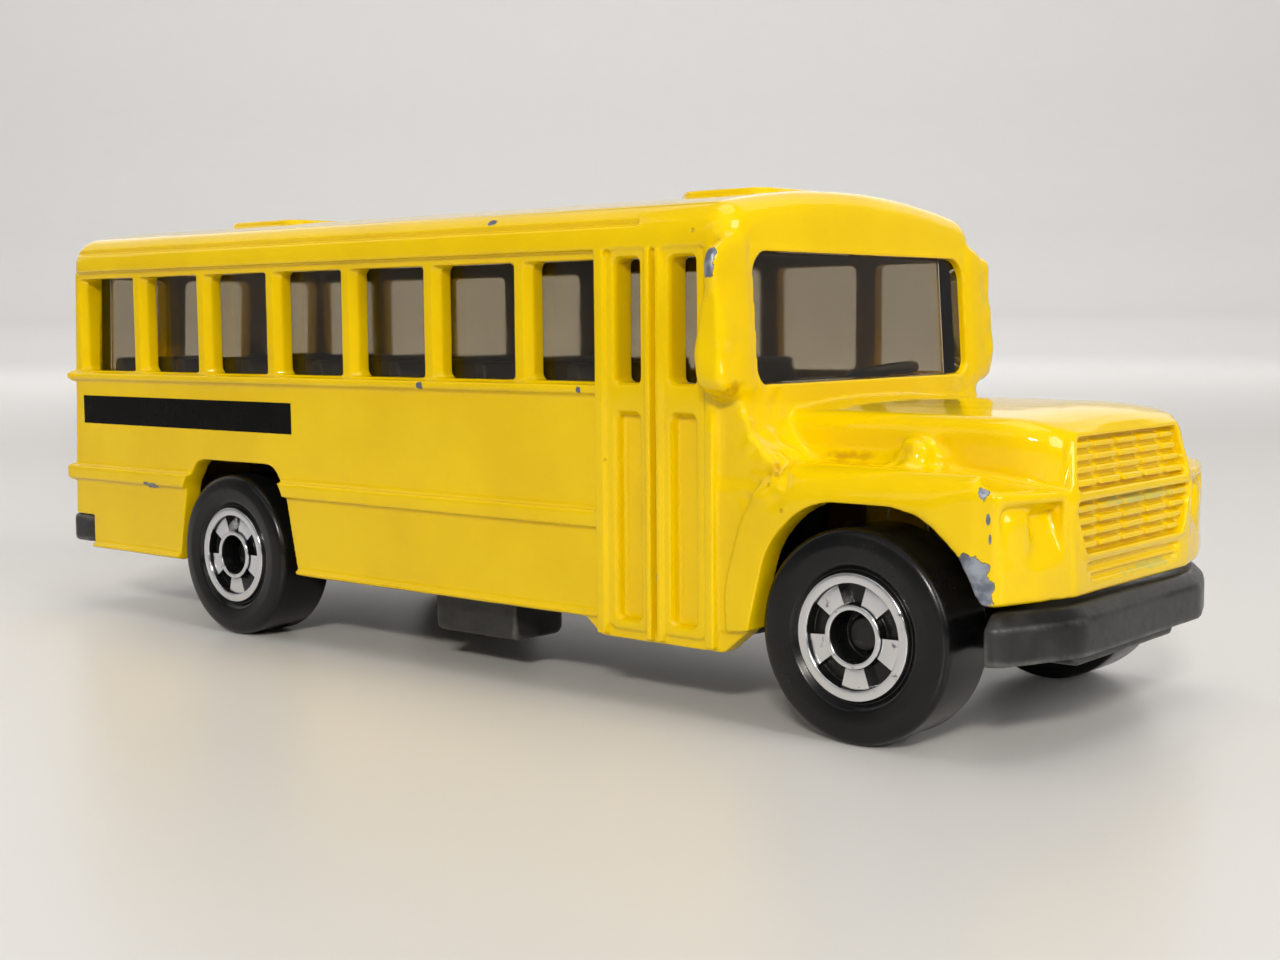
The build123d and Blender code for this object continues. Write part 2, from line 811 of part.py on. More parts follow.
def body_casting():
    front = fender_block(0, skirt_z - 1.0) + hood_block() + nose_plate() + coves() + flares()
    low_front = prism_y(
        [
            (cowl_x - 3, skirt_z - 3),
            (cowl_x - 3, skirt_z),
            (cowl_x + 0.5, skirt_z + 0.45),
            (cowl_x + 4, nose_low),
            (nose_x + 2, nose_low),
            (nose_x + 2, skirt_z - 3),
        ],
        -far,
        far,
    )
    shell = cabin_outer() + (front - low_front)
    shell += rails() + door_step() + lamps() + mirrors() + hatches()
    shell -= drip_groove()
    cavity = cabin_core(wall, skirt_z - 4, roof_inner)
    cavity += fender_block(wall, skirt_z - 4)
    hood_in = hood_half - wall - 0.3
    cavity += block(cowl_x - 3, nose_x - 2.2, -hood_in, hood_in, skirt_z - 4, hood_top - 1.4)
    shell -= cavity
    shell -= wheel_arches()
    shell -= block(rear_x - 1, notch_x, -far, far, skirt_z - 2, notch_top)
    shell -= side_windows()
    shell -= end_windows()
    shell = door_relief(shell)
    shell = grille(shell)
    shell = headlights(shell)
    shell = rear_door(shell)
    return shell + posts()


# Clear insert behind the windows
def window_insert():
    inset = wall + fit
    outer = cabin_core(inset, tray_top, roof_inner)
    inner = cabin_core(inset + glass_wall, tray_top - 1, roof_inner - glass_wall)
    pane = prism_x(windshield(fit), cowl_x - wall - 1.5, cowl_x + 2)
    pane = pane & prism_y(cabin_side(glass_setback, tray_top, roof_inner), -far, far)
    return outer + pane - inner


# Seats, dash and steering wheel, moulded as one tray
def seat_tray():
    half = panel_half - wall - 2 * fit
    rear = rear_at(tray_bottom) + wall + fit
    front = cowl_x - wall - fit
    shape = prism_z(rounded_rect(rear + 0.2, front, -half, half, 0.6), tray_bottom, tray_top)
    inner = panel_half - wall - fit - glass_wall - seat_margin
    seats = Part()
    for index in range(window_count + 1):
        x = window_first + index * window_pitch + 0.9
        profile = [
            (x, tray_top - 0.2),
            (x, tray_top + seat_back_height, 0.35),
            (x + seat_back, tray_top + seat_back_height, 0.35),
            (x + seat_back + 0.35, tray_top + 2.2, 0.3),
            (x + 4.2, tray_top + 2.3, 0.5),
            (x + 4.2, tray_top - 0.2),
        ]
        seats += prism_y(profile, aisle_half, inner)
    shape += both_sides(seats)
    driver_y = (inner + aisle_half) / 2
    chair_x = door_rear + 0.6
    chair = [
        (chair_x, tray_top - 0.2),
        (chair_x - 0.3, tray_top + seat_back_height - chair_drop, 0.35),
        (chair_x + 0.7, tray_top + seat_back_height - chair_drop, 0.35),
        (chair_x + 1.1, tray_top + 2.2, 0.3),
        (chair_x + 3.6, tray_top + 2.4, 0.5),
        (chair_x + 3.6, tray_top - 0.2),
    ]
    shape += prism_y(chair, driver_y - 2.2, driver_y + 2.2)
    dash_front = front_at(sill_z) - wall - 2 * fit - glass_wall
    dash = [
        (dash_front - 1.7, tray_top - 0.2),
        (dash_front - 1.7, sill_z - 1.2, 0.5),
        (dash_front, sill_z - 0.7, 0.2),
        (dash_front, tray_top - 0.2),
    ]
    shape += prism_y(dash, -inner + 0.5, inner - 0.5)
    ring = Torus(1.9, 0.34)
    hub = Cylinder(0.5, 0.6)
    spokes = Box(3.7, 0.6, 0.4) + Pos(0, -0.95, 0) * Box(0.6, 1.7, 0.4)
    reach = sill_z - tray_top + 0.6
    column = Pos(0, 0, -reach / 2) * Cylinder(0.42, reach)
    wheel = ring + hub + Rot(0, 0, 90) * spokes + column
    centre = (dash_front - 2.5, driver_y + 1.1, sill_z)
    return shape + Pos(*centre) * Rot(0, -12, 0) * wheel


# Base with bumpers, axle bearings, tank and driveline relief
bumper_outline = [
    (front_x - 2.6, -panel_half + 0.15),
    (front_x - 1.9, -panel_half + 0.15, 0.8),
    (front_x - 0.9, -panel_half + 2.4, 3.0),
    (front_x, -panel_half + 5.0, 3.0),
    (front_x, panel_half - 5.0, 3.0),
    (front_x - 0.9, panel_half - 2.4, 3.0),
    (front_x - 1.9, panel_half - 0.15, 0.8),
    (front_x - 2.6, panel_half - 0.15),
]


def front_bumper():
    low = nose_low - 0.25 - bumper_height
    bar = prism_z(bumper_outline, low, nose_low - 0.3)
    top = bar.faces().sort_by(Axis.Z)[-1]
    bar = chamfer(top.edges().sort_by(Axis.X)[1:], 0.65)
    valance = [
        (-5.4, low - 0.75, 0.3),
        (5.4, low - 0.75, 0.3),
        (6.2, low + 0.4),
        (-6.2, low + 0.4),
    ]
    return bar + prism_x(valance, front_x - 3.0, front_x - 1.0)


def bearing(x):
    half = wheel_inner - wheel_gap
    top = axle_z + axle_radius + 0.9
    saddle = [
        (x - 2.3, base_top - 0.2),
        (x - 1.3, top, 0.4),
        (x + 1.3, top, 0.4),
        (x + 2.3, base_top - 0.2),
    ]
    width = 1.6
    return both_sides(prism_y(saddle, half - width, half))


def rear_bumper():
    """Bar across the tail, let in under the rear wall, with its ends showing at the sides."""
    low = skirt_z + bumper_rise
    high = low + rear_bumper_height
    end = notch_x - fit
    bar = prism_z(rounded_rect(rear_x, end, -panel_half, panel_half, 0.9), low, high)
    bar = fillet(bar.edges().filter_by(lambda edge: abs(edge.tangent_at(0.5).Z) < 0.1), 0.25)
    half = panel_half - 2.6
    return bar - block(rear_wall_x + 0.65, end + 1, -half, half, base_top, high + 1)


def base_plate():
    half = panel_half - wall - base_gap
    neck = wheel_inner - wheel_gap
    start = rear_wall_x + 0.5
    end = front_x - 2.4
    shape = prism_z(rounded_rect(start, end, -half, half, 1.8), base_bottom, base_top)
    for x in (axle_rear_x, axle_front_x):
        reach = wheel_radius + 1.3
        gap = block(x - reach, x + reach, neck, half + 5, base_bottom - 5, base_top + 5)
        shape -= both_sides(gap)
    shape += front_bumper() + rear_bumper()
    for x in (axle_rear_x, axle_front_x):
        shape += bearing(x)
    tank_x = cowl_x - 24.0
    tank = rounded_rect(-half + 0.2, -half + 4.2, base_bottom - 2.4, base_bottom + 0.4, 0.5)
    shape += prism_x(tank, tank_x, tank_x + 6.6)
    sump_x = axle_front_x - 9.0
    length = sump_x - axle_rear_x
    shaft = Pos(axle_rear_x + length / 2, 0, base_bottom) * Rot(0, 90, 0) * Cylinder(0.75, length)
    shape += shaft
    shape += Pos(axle_rear_x, 0, base_bottom + 0.6) * Sphere(2.0)
    for y in (-5.1, 5.1):
        rib = rounded_rect(axle_rear_x - 12, axle_front_x - 2, y - 0.5, y + 0.5, 0.4)
        shape += prism_z(rib, base_bottom - 0.6, base_bottom + 0.2)
    sump = rounded_rect(sump_x, sump_x + 7.5, -2.3, 2.3, 0.8)
    shape += prism_z(sump, base_bottom - 0.8, base_bottom + 0.3)
    panel = rounded_rect(panel_x - 8.0, panel_x + 8.0, -3.4, 3.4, 0.6)
    shape += prism_z(panel, base_bottom - panel_drop, base_bottom + 0.3)
    for x in (axle_rear_x + 11.0, cowl_x - 8.0):
        peg = Cylinder(peg_radius, tray_bottom - base_top + 0.2)
        peg = Pos(x, neck - 2.0, (base_top - 0.2 + tray_bottom) / 2) * peg
        shape += both_sides(peg)
    for x in (post_front_x, post_rear_x):
        shape -= Pos(x, 0, base_bottom) * Cylinder(rivet_radius + fit, 6)
        shape -= Pos(x, 0, base_bottom - 2.5) * Cylinder(rivet_head + 0.4, 5)
    for x in (axle_rear_x, axle_front_x):
        hole = Rot(90, 0, 0) * Cylinder(axle_radius + fit / 5, 4 * panel_half)
        shape -= Pos(x, 0, axle_z) * hole
    return shape


# Axles and wheels
pocket_depth = 1.7


def axle(x):
    shoulder = wheel_face - pocket_depth + axle_end_play
    wire = Cylinder(axle_radius, 2 * shoulder)
    head = Cylinder(axle_head_radius, axle_head_height)
    head = fillet(head.edges().sort_by(Axis.Z)[-1], 0.2)
    ends = Pos(0, 0, shoulder + axle_head_height / 2) * head
    shape = wire + ends + mirror(ends, about=Plane.XY)
    return Pos(x, 0, axle_z) * Rot(90, 0, 0) * shape


def wheel(x, side):
    """Wheel turned about its own axis, face outward, then set on its axle end."""
    bore = axle_radius + bore_clearance
    r = wheel_radius
    w = wheel_width
    s = tyre_shoulder
    k = sqrt(0.5)
    profile = make_face(
        [
            Line((bore, -w), (bore, -pocket_depth)),
            Line((bore, -pocket_depth), (hub_pocket_radius, -pocket_depth)),
            Line((hub_pocket_radius, -pocket_depth), (hub_pocket_radius, -0.25)),
            Line((hub_pocket_radius, -0.25), (hub_eye_outer, -0.25)),
            Line((hub_eye_outer, -0.25), (hub_eye_outer, -0.8)),
            Line((hub_eye_outer, -0.8), (hub_ring_inner, -0.8)),
            Line((hub_ring_inner, -0.8), (hub_ring_inner, -0.2)),
            Line((hub_ring_inner, -0.2), (hub_ring_outer, -0.2)),
            Line((hub_ring_outer, -0.2), (hub_ring_outer + 0.1, -0.4)),
            ThreePointArc(
                (hub_ring_outer + 0.1, -0.4),
                (hub_ring_outer + 0.45, -0.1),
                (r - s, 0),
            ),
            ThreePointArc((r - s, 0), (r - s + s * k, -s + s * k), (r, -s)),
            Line((r, -s), (r, -w + 0.5)),
            Line((r, -w + 0.5), (r - 0.5, -w)),
            Line((r - 0.5, -w), (r - 1.0, -w)),
            Line((r - 1.0, -w), (r - 1.0, -1.7)),
            Line((r - 1.0, -1.7), (hub_eye_outer, -1.7)),
            Line((hub_eye_outer, -1.7), (hub_eye_outer, -w)),
            Line((hub_eye_outer, -w), (bore, -w)),
        ]
    )
    shape = revolve(Plane.XZ * profile, axis=Axis.Z)
    ring = Circle((hub_ring_inner + hub_ring_outer) / 2) - Circle((hub_pocket_radius + hub_eye_outer) / 2)
    reach = hub_ring_outer
    half = radians(spoke_angle / 2)
    wedge = make_face(
        [
            Line((0, 0), (reach * cos(half), -reach * sin(half))),
            ThreePointArc(
                (reach * cos(half), -reach * sin(half)),
                (reach, 0),
                (reach * cos(half), reach * sin(half)),
            ),
            Line((reach * cos(half), reach * sin(half)), (0, 0)),
        ]
    )
    spoke = extrude(Pos(0, 0, -0.9) * (ring & wedge), amount=0.6)
    for index in range(spoke_count):
        shape += Rot(0, 0, spoke_phase + index * 360.0 / spoke_count) * spoke
    turned = Rot(90, 0, 0) * shape
    if side > 0:
        turned = mirror(turned, about=Plane.XZ)
    return Pos(x, side * wheel_face, axle_z) * turned


pieces = {
    "body_casting": body_casting(),
    "window_insert": window_insert(),
    "seat_tray": seat_tray(),
    "base_plate": base_plate(),
    "front_axle": axle(axle_front_x),
    "rear_axle": axle(axle_rear_x),
    "wheel_front_right": wheel(axle_front_x, -1),
    "wheel_front_left": wheel(axle_front_x, 1),
    "wheel_rear_right": wheel(axle_rear_x, -1),
    "wheel_rear_left": wheel(axle_rear_x, 1),
}
for node, piece in pieces.items():
    export_step(piece, f"parts/{node}.step")
    print(node, round(piece.volume, 2), len(piece.solids()))
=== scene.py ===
import math

import bmesh
import bpy
import numpy as np
from mathutils import Matrix, Vector, noise


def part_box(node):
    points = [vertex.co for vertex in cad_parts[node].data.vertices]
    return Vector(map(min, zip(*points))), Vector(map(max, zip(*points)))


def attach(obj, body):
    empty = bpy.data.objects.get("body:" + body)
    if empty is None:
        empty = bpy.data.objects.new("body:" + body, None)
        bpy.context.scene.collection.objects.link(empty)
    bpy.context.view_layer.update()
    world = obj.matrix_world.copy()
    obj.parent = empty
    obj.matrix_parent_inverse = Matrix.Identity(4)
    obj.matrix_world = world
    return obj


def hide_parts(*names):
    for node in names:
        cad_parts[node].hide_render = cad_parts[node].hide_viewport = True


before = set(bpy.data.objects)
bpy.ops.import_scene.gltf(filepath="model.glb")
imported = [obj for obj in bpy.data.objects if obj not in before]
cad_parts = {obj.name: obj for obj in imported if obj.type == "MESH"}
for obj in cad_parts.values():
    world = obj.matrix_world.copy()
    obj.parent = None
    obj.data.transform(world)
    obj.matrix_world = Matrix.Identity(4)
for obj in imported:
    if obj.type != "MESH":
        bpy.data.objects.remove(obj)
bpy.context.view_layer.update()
mm = 0.001
print("frame loaded:", sorted(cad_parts))


# Small helpers for node trees and meshes

def makeGroup(name, inputs, outputs):
    tree = bpy.data.node_groups.new(name, "ShaderNodeTree")
    for label, kind, value in inputs:
        socket = tree.interface.new_socket(label, in_out="INPUT", socket_type="NodeSocket" + kind)
        socket.default_value = value
    for label, kind in outputs:
        tree.interface.new_socket(label, in_out="OUTPUT", socket_type="NodeSocket" + kind)
    return tree, tree.nodes.new("NodeGroupInput"), tree.nodes.new("NodeGroupOutput")


def addNode(tree, kind, settings=None, **values):
    node = tree.nodes.new(kind)
    for key, value in (settings or {}).items():
        setattr(node, key, value)
    for key, value in values.items():
        setSocket(tree, node.inputs[key.replace("_", " ")], value)
    return node


def setSocket(tree, socket, value):
    if isinstance(value, bpy.types.NodeSocket):
        tree.links.new(value, socket)
    else:
        socket.default_value = value


def mathNode(tree, operation, first, second):
    node = addNode(tree, "ShaderNodeMath", {"operation": operation})
    setSocket(tree, node.inputs[0], first)
    setSocket(tree, node.inputs[1], second)
    return node.outputs[0]


def mixColour(tree, amount, first, second):
    node = addNode(tree, "ShaderNodeMix", {"data_type": "RGBA"})
    setSocket(tree, node.inputs[0], amount)
    setSocket(tree, node.inputs[6], first)
    setSocket(tree, node.inputs[7], second)
    return node.outputs[2]


def mapRange(tree, value, low, high, toLow=0.0, toHigh=1.0):
    node = addNode(tree, "ShaderNodeMapRange", {"interpolation_type": "SMOOTHSTEP"})
    for index, item in enumerate((value, low, high, toLow, toHigh)):
        setSocket(tree, node.inputs[index], item)
    return node.outputs[0]


def noiseNode(tree, place, scale, detail, rough):
    node = addNode(tree, "ShaderNodeTexNoise", Vector=place, Scale=scale, Detail=detail, Roughness=rough)
    return node.outputs["Fac"]


def useGroup(tree, group, **values):
    node = tree.nodes.new("ShaderNodeGroup")
    node.node_tree = group
    for key, value in values.items():
        setSocket(tree, node.inputs[key.replace("_", " ")], value)
    return node.outputs


def newMaterial(name):
    material = bpy.data.materials.new(name)
    material.use_nodes = True
    tree = material.node_tree
    place = addNode(tree, "ShaderNodeTexCoord").outputs["Object"]
    return material, tree, tree.nodes["Principled BSDF"], place


def bumpNode(tree, height, strength, distance):
    node = addNode(tree, "ShaderNodeBump", Height=height, Strength=strength, Distance=distance)
    return node.outputs["Normal"]


def addObject(name, mesh):
    piece = bpy.data.objects.new(name, mesh)
    bpy.context.scene.collection.objects.link(piece)
    return piece


def evaluated(piece):
    graph = bpy.context.evaluated_depsgraph_get()
    return bpy.data.meshes.new_from_object(piece.evaluated_get(graph))


def dress(piece, material, body, slot, *nodes):
    piece.data.materials.clear()
    piece.data.materials.append(material)
    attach(piece, body)
    if nodes:
        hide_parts(*nodes)


# Shader groups that several finishes share

grainMix = {"cloudScale": 220.0, "fineShare": 0.35, "cloudShare": 0.65, "span": (0.3, 0.7)}


def edgeWearGroup():
    tree, into, out = makeGroup(
        "edgeWear",
        [("Place", "Vector", (0, 0, 0)), ("Low", "Float", 0.1), ("High", "Float", 0.3),
         ("Scale", "Float", 900.0), ("Cover", "Float", 0.5)],
        [("Ridge", "Float"), ("Hollow", "Float")],
    )
    bend = addNode(tree, "ShaderNodeAttribute", {"attribute_name": "bend"}).outputs["Fac"]
    grain = noiseNode(tree, into.outputs["Place"], into.outputs["Scale"], 4.0, 0.6)
    patch = mapRange(tree, grain, mathNode(tree, "SUBTRACT", 0.9, into.outputs["Cover"]), 0.95)
    raised = mapRange(tree, mathNode(tree, "MULTIPLY", bend, -1.0), into.outputs["Low"], into.outputs["High"])
    sunk = mapRange(tree, bend, into.outputs["Low"], into.outputs["High"])
    tree.links.new(mathNode(tree, "MULTIPLY", raised, patch), out.inputs["Ridge"])
    tree.links.new(sunk, out.inputs["Hollow"])
    return tree


def fineGrainGroup():
    tree, into, out = makeGroup(
        "fineGrain",
        [("Place", "Vector", (0, 0, 0)), ("Scale", "Float", 3000.0), ("Smooth", "Float", 0.3),
         ("Dull", "Float", 0.5)],
        [("Roughness", "Float"), ("Height", "Float"), ("Cloud", "Float")],
    )
    fine = noiseNode(tree, into.outputs["Place"], into.outputs["Scale"], 3.0, 0.6)
    cloud = noiseNode(tree, into.outputs["Place"], grainMix["cloudScale"], 4.0, 0.6)
    fineShare = mathNode(tree, "MULTIPLY", fine, grainMix["fineShare"])
    cloudShare = mathNode(tree, "MULTIPLY", cloud, grainMix["cloudShare"])
    blend = mathNode(tree, "ADD", fineShare, cloudShare)
    spread = mapRange(tree, blend, *grainMix["span"], into.outputs["Smooth"], into.outputs["Dull"])
    tree.links.new(spread, out.inputs["Roughness"])
    tree.links.new(fine, out.inputs["Height"])
    tree.links.new(cloud, out.inputs["Cloud"])
    return tree


def chipSpotGroup():
    tree, into, out = makeGroup(
        "chipSpot",
        [("Place", "Vector", (0, 0, 0)), ("Centre", "Vector", (0, 0, 0)), ("Squeeze", "Vector", (1, 1, 1)),
         ("Reach", "Float", 0.001), ("Ragged", "Float", 0.0), ("Soft", "Float", 0.15)],
        [("Mask", "Float")],
    )
    offset = addNode(tree, "ShaderNodeVectorMath", {"operation": "SUBTRACT"})
    setSocket(tree, offset.inputs[0], into.outputs["Place"])
    setSocket(tree, offset.inputs[1], into.outputs["Centre"])
    squeezed = addNode(tree, "ShaderNodeVectorMath", {"operation": "MULTIPLY"})
    setSocket(tree, squeezed.inputs[0], offset.outputs[0])
    setSocket(tree, squeezed.inputs[1], into.outputs["Squeeze"])
    away = addNode(tree, "ShaderNodeVectorMath", {"operation": "LENGTH"})
    setSocket(tree, away.inputs[0], squeezed.outputs[0])
    share = mathNode(tree, "DIVIDE", away.outputs["Value"], into.outputs["Reach"])
    share = mathNode(tree, "ADD", share, into.outputs["Ragged"])
    inner = mathNode(tree, "SUBTRACT", 1.0, into.outputs["Soft"])
    mask = mathNode(tree, "SUBTRACT", 1.0, mapRange(tree, share, inner, 1.0))
    tree.links.new(mask, out.inputs["Mask"])
    return tree


edgeWear = edgeWearGroup()
fineGrain = fineGrainGroup()
chipSpot = chipSpotGroup()
print("shader groups made")


def wornEdges(tree, place, low, high, scale, cover):
    return useGroup(tree, edgeWear, Place=place, Low=low, High=high, Scale=scale, Cover=cover)


# Yellow enamel on the casting, chipped to the zinc where the toy has been knocked

enamel = {  # depths and nose places in mm, edges are low, high, scale and cover
    "colour": (0.80, 0.535, 0.0, 1),
    "colourThin": (0.86, 0.59, 0.0, 1),
    # darker yellow for sharp concave creases: painted shade, together with the dirt in the seams
    "colourCreaseShadeAndDirt": (0.50, 0.22, 0.0, 1),
    "zinc": (0.36, 0.40, 0.47, 1),
    "zincDark": (0.17, 0.19, 0.24, 1),
    # the rubbed colour also paints a highlight on the far grille frame's vertical edge
    "rubbed": (0.46, 0.48, 0.13, 1),
    "stain": (0.30, 0.085, 0.006, 1),
    "cloudScale": 140.0,
    "tornScale": 1500.0,
    "ragged": 1.6,
    "peelScale": 900.0,
    "peelDepth": 0.006,
    "chipDepth": 0.07,
    "pitDepth": 0.05,
    "hollowShade": 0.55,
    "stainShade": 0.5,
    "rubShade": 0.7,
    "pitShade": 0.3,
    "chipSoft": 0.12,
    "stainSoft": 0.9,
    "rubSoft": 0.7,
    "pitSoft": 0.6,
    "knockedEdges": (0.20, 0.42, 420.0, 0.17),
    "rubbedEdges": (0.05, 0.22, 700.0, 0.50),
    "noseStart": 37.0,
    "noseFull": 37.5,
    "gloss": (0.07, 0.14),
    "chipRoughness": 0.5,
    "chipMetal": 0.75,
    "coat": 0.42,
    "coatRoughness": 0.03,
    "shine": 0.12,
}

# Marks on the paint: centre in mm, squeeze along x, y and z, reach in mm
chips = [
    ((21.70, -13.50, 23.10), (2.0, 1.0, 1.0), 0.80),
    ((35.40, -11.70, 9.05), (1.1, 1.0, 1.3), 0.95),
    ((35.75, -11.62, 8.15), (1.7, 1.0, 0.85), 0.90),
    ((35.75, -11.50, 12.75), (1.5, 1.3, 0.65), 0.40),
    ((35.95, -11.50, 11.35), (2.0, 1.3, 0.55), 0.18),
    ((36.05, -11.50, 10.40), (2.2, 1.3, 0.60), 0.14),
    ((-0.49, -12.20, 16.64), (1.0, 1.0, 1.0), 0.24),
    ((11.91, -12.20, 16.66), (1.0, 1.0, 1.0), 0.17),
    ((-27.70, -12.05, 9.35), (0.6, 1.0, 1.6), 0.45),
    ((17.17, -12.16, 7.11), (1.4, 1.0, 0.7), 0.26),
    ((5.11, -11.64, 25.75), (0.8, 1.0, 1.4), 0.26),
    ((24.10, 0.0, 3.6), (1.0, 1.0, 1.0), 3.0),
    ((-35.20, 0.0, 3.6), (1.0, 1.0, 1.0), 3.0),
]
stains = [
    ((26.70, -8.45, 13.55), (0.5, 1.5, 3.0), 1.10),
    ((24.45, -11.50, 12.90), (1.3, 1.0, 0.8), 0.70),
    ((22.40, -12.60, 17.00), (1.0, 1.0, 1.4), 0.80),
]
# Rubbed spots on the nose: the first two are worn paint on the grille's divider bar and bottom lip, the third
# is a painted highlight on the far grille frame's vertical edge
rubsAndHighlight = [
    ((37.75, 0.20, 11.45), (0.5, 0.09, 1.7), 0.55),
    ((37.85, 1.60, 7.95), (0.5, 0.14, 1.7), 0.50),
    ((37.45, 7.10, 10.20), (0.6, 0.8, 0.25), 0.40),
]
pits = [
    ((24.50, -11.77, 12.75), (1.0, 1.0, 1.0), 0.17),
    ((24.22, -12.05, 12.27), (1.0, 1.0, 1.0), 0.14),
    ((24.50, -11.19, 13.35), (1.0, 1.0, 1.0), 0.14),
    ((25.10, -12.20, 11.07), (1.0, 1.0, 1.0), 0.15),
    ((19.66, -12.16, 24.77), (1.0, 1.0, 1.0), 0.16),
    ((22.43, -12.97, 16.95), (1.0, 1.0, 1.0), 0.20),
    ((13.69, -12.11, 13.01), (1.0, 1.0, 1.0), 0.12),
]


def spots(tree, place, rows, ragged, soft):
    total = None
    for centre, squeeze, reach in rows:
        mask = useGroup(
            tree, chipSpot, Place=place, Centre=Vector(centre) * mm, Squeeze=squeeze, Reach=reach * mm,
            Ragged=ragged, Soft=soft,
        )["Mask"]
        total = mask if total is None else mathNode(tree, "MAXIMUM", total, mask)
    return total


def yellowEnamel():
    material, tree, shader, place = newMaterial("yellowEnamel")
    cloud = noiseNode(tree, place, enamel["cloudScale"], 3.0, 0.5)
    torn = noiseNode(tree, place, enamel["tornScale"], 3.0, 0.6)
    ragged = mathNode(tree, "MULTIPLY", mathNode(tree, "SUBTRACT", torn, 0.5), enamel["ragged"])
    wear = wornEdges(tree, place, *enamel["knockedEdges"])
    rub = wornEdges(tree, place, *enamel["rubbedEdges"])
    forward = addNode(tree, "ShaderNodeSeparateXYZ", Vector=place).outputs["X"]
    nose = mapRange(tree, forward, enamel["noseStart"] * mm, enamel["noseFull"] * mm)

    colour = mixColour(tree, mapRange(tree, cloud, 0.3, 0.7), enamel["colour"], enamel["colourThin"])
    # Sharp concave creases are darkened: painted shade in the creases, together with the dirt in the seams
    creaseShadeAndDirt = mathNode(tree, "MULTIPLY", wear["Hollow"], enamel["hollowShade"])
    colour = mixColour(tree, creaseShadeAndDirt, colour, enamel["colourCreaseShadeAndDirt"])
    stain = spots(tree, place, stains, ragged, enamel["stainSoft"])
    stain = mathNode(tree, "MULTIPLY", stain, enamel["stainShade"])
    colour = mixColour(tree, stain, colour, enamel["stain"])
    thin = mathNode(tree, "MULTIPLY", rub["Ridge"], nose)
    # the rubbed spots include a painted highlight on the far grille frame's vertical edge
    thin = mathNode(tree, "MAXIMUM", thin, spots(tree, place, rubsAndHighlight, ragged, enamel["rubSoft"]))
    colour = mixColour(tree, mathNode(tree, "MULTIPLY", thin, enamel["rubShade"]), colour, enamel["rubbed"])
    pit = spots(tree, place, pits, 0.0, enamel["pitSoft"])
    colour = mixColour(tree, mathNode(tree, "MULTIPLY", pit, enamel["pitShade"]), colour, enamel["stain"])
    knocked = mapRange(tree, wear["Ridge"], 0.3, 0.5)
    chip = mathNode(tree, "MAXIMUM", spots(tree, place, chips, ragged, enamel["chipSoft"]), knocked)
    bare = mixColour(tree, mapRange(tree, torn, 0.35, 0.65), enamel["zincDark"], enamel["zinc"])
    tree.links.new(mixColour(tree, chip, colour, bare), shader.inputs["Base Color"])

    peel = noiseNode(tree, place, enamel["peelScale"], 2.0, 0.5)
    peel = mathNode(tree, "MULTIPLY", peel, enamel["peelDepth"])
    chipSunk = mathNode(tree, "MULTIPLY", chip, enamel["chipDepth"])
    pitSunk = mathNode(tree, "MULTIPLY", pit, enamel["pitDepth"])
    height = mathNode(tree, "SUBTRACT", peel, mathNode(tree, "ADD", chipSunk, pitSunk))
    tree.links.new(bumpNode(tree, height, 1.0, mm), shader.inputs["Normal"])
    gloss = mapRange(tree, cloud, 0.2, 0.8, *enamel["gloss"])
    rough = mathNode(tree, "MAXIMUM", gloss, mathNode(tree, "MULTIPLY", chip, enamel["chipRoughness"]))
    tree.links.new(rough, shader.inputs["Roughness"])
    tree.links.new(mathNode(tree, "MULTIPLY", chip, enamel["chipMetal"]), shader.inputs["Metallic"])
    tree.links.new(mapRange(tree, chip, 0.0, 1.0, enamel["coat"], 0.0), shader.inputs["Coat Weight"])
    shader.inputs["Specular IOR Level"].default_value = enamel["shine"]
    shader.inputs["Coat Roughness"].default_value = enamel["coatRoughness"]
    return material


# Smoke-tinted glass, its tints warmed beyond the smoke to paint the yellow light of the cabin seen through it
smokeAndCabinGlow = {"deep": (0.54, 0.49, 0.40, 1), "pale": (0.62, 0.57, 0.48, 1), "shadow": (0.72, 0.66, 0.54, 1),
         "gloss": (0.02, 0.07), "grain": 600.0, "refraction": 1.45}


def smokeGlassWithCabinGlow():
    material, tree, shader, place = newMaterial("smokeGlassWithCabinGlow")
    smooth, dull = smokeAndCabinGlow["gloss"]
    grain = useGroup(tree, fineGrain, Place=place, Scale=smokeAndCabinGlow["grain"], Smooth=smooth, Dull=dull)
    tree.links.new(grain["Roughness"], shader.inputs["Roughness"])
    # the warm tint is partly the smoke and partly painted yellow light from the cabin
    tint = mixColour(tree, grain["Cloud"], smokeAndCabinGlow["deep"], smokeAndCabinGlow["pale"])
    tree.links.new(tint, shader.inputs["Base Color"])
    shader.inputs["Transmission Weight"].default_value = 1.0
    shader.inputs["IOR"].default_value = smokeAndCabinGlow["refraction"]
    clear = addNode(tree, "ShaderNodeBsdfTransparent", Color=smokeAndCabinGlow["shadow"])
    ray = addNode(tree, "ShaderNodeLightPath").outputs["Is Shadow Ray"]
    blend = addNode(tree, "ShaderNodeMixShader")
    tree.links.new(ray, blend.inputs[0])
    tree.links.new(shader.outputs[0], blend.inputs[1])
    tree.links.new(clear.outputs[0], blend.inputs[2])
    tree.links.new(blend.outputs[0], tree.nodes["Material Output"].inputs["Surface"])
    return material


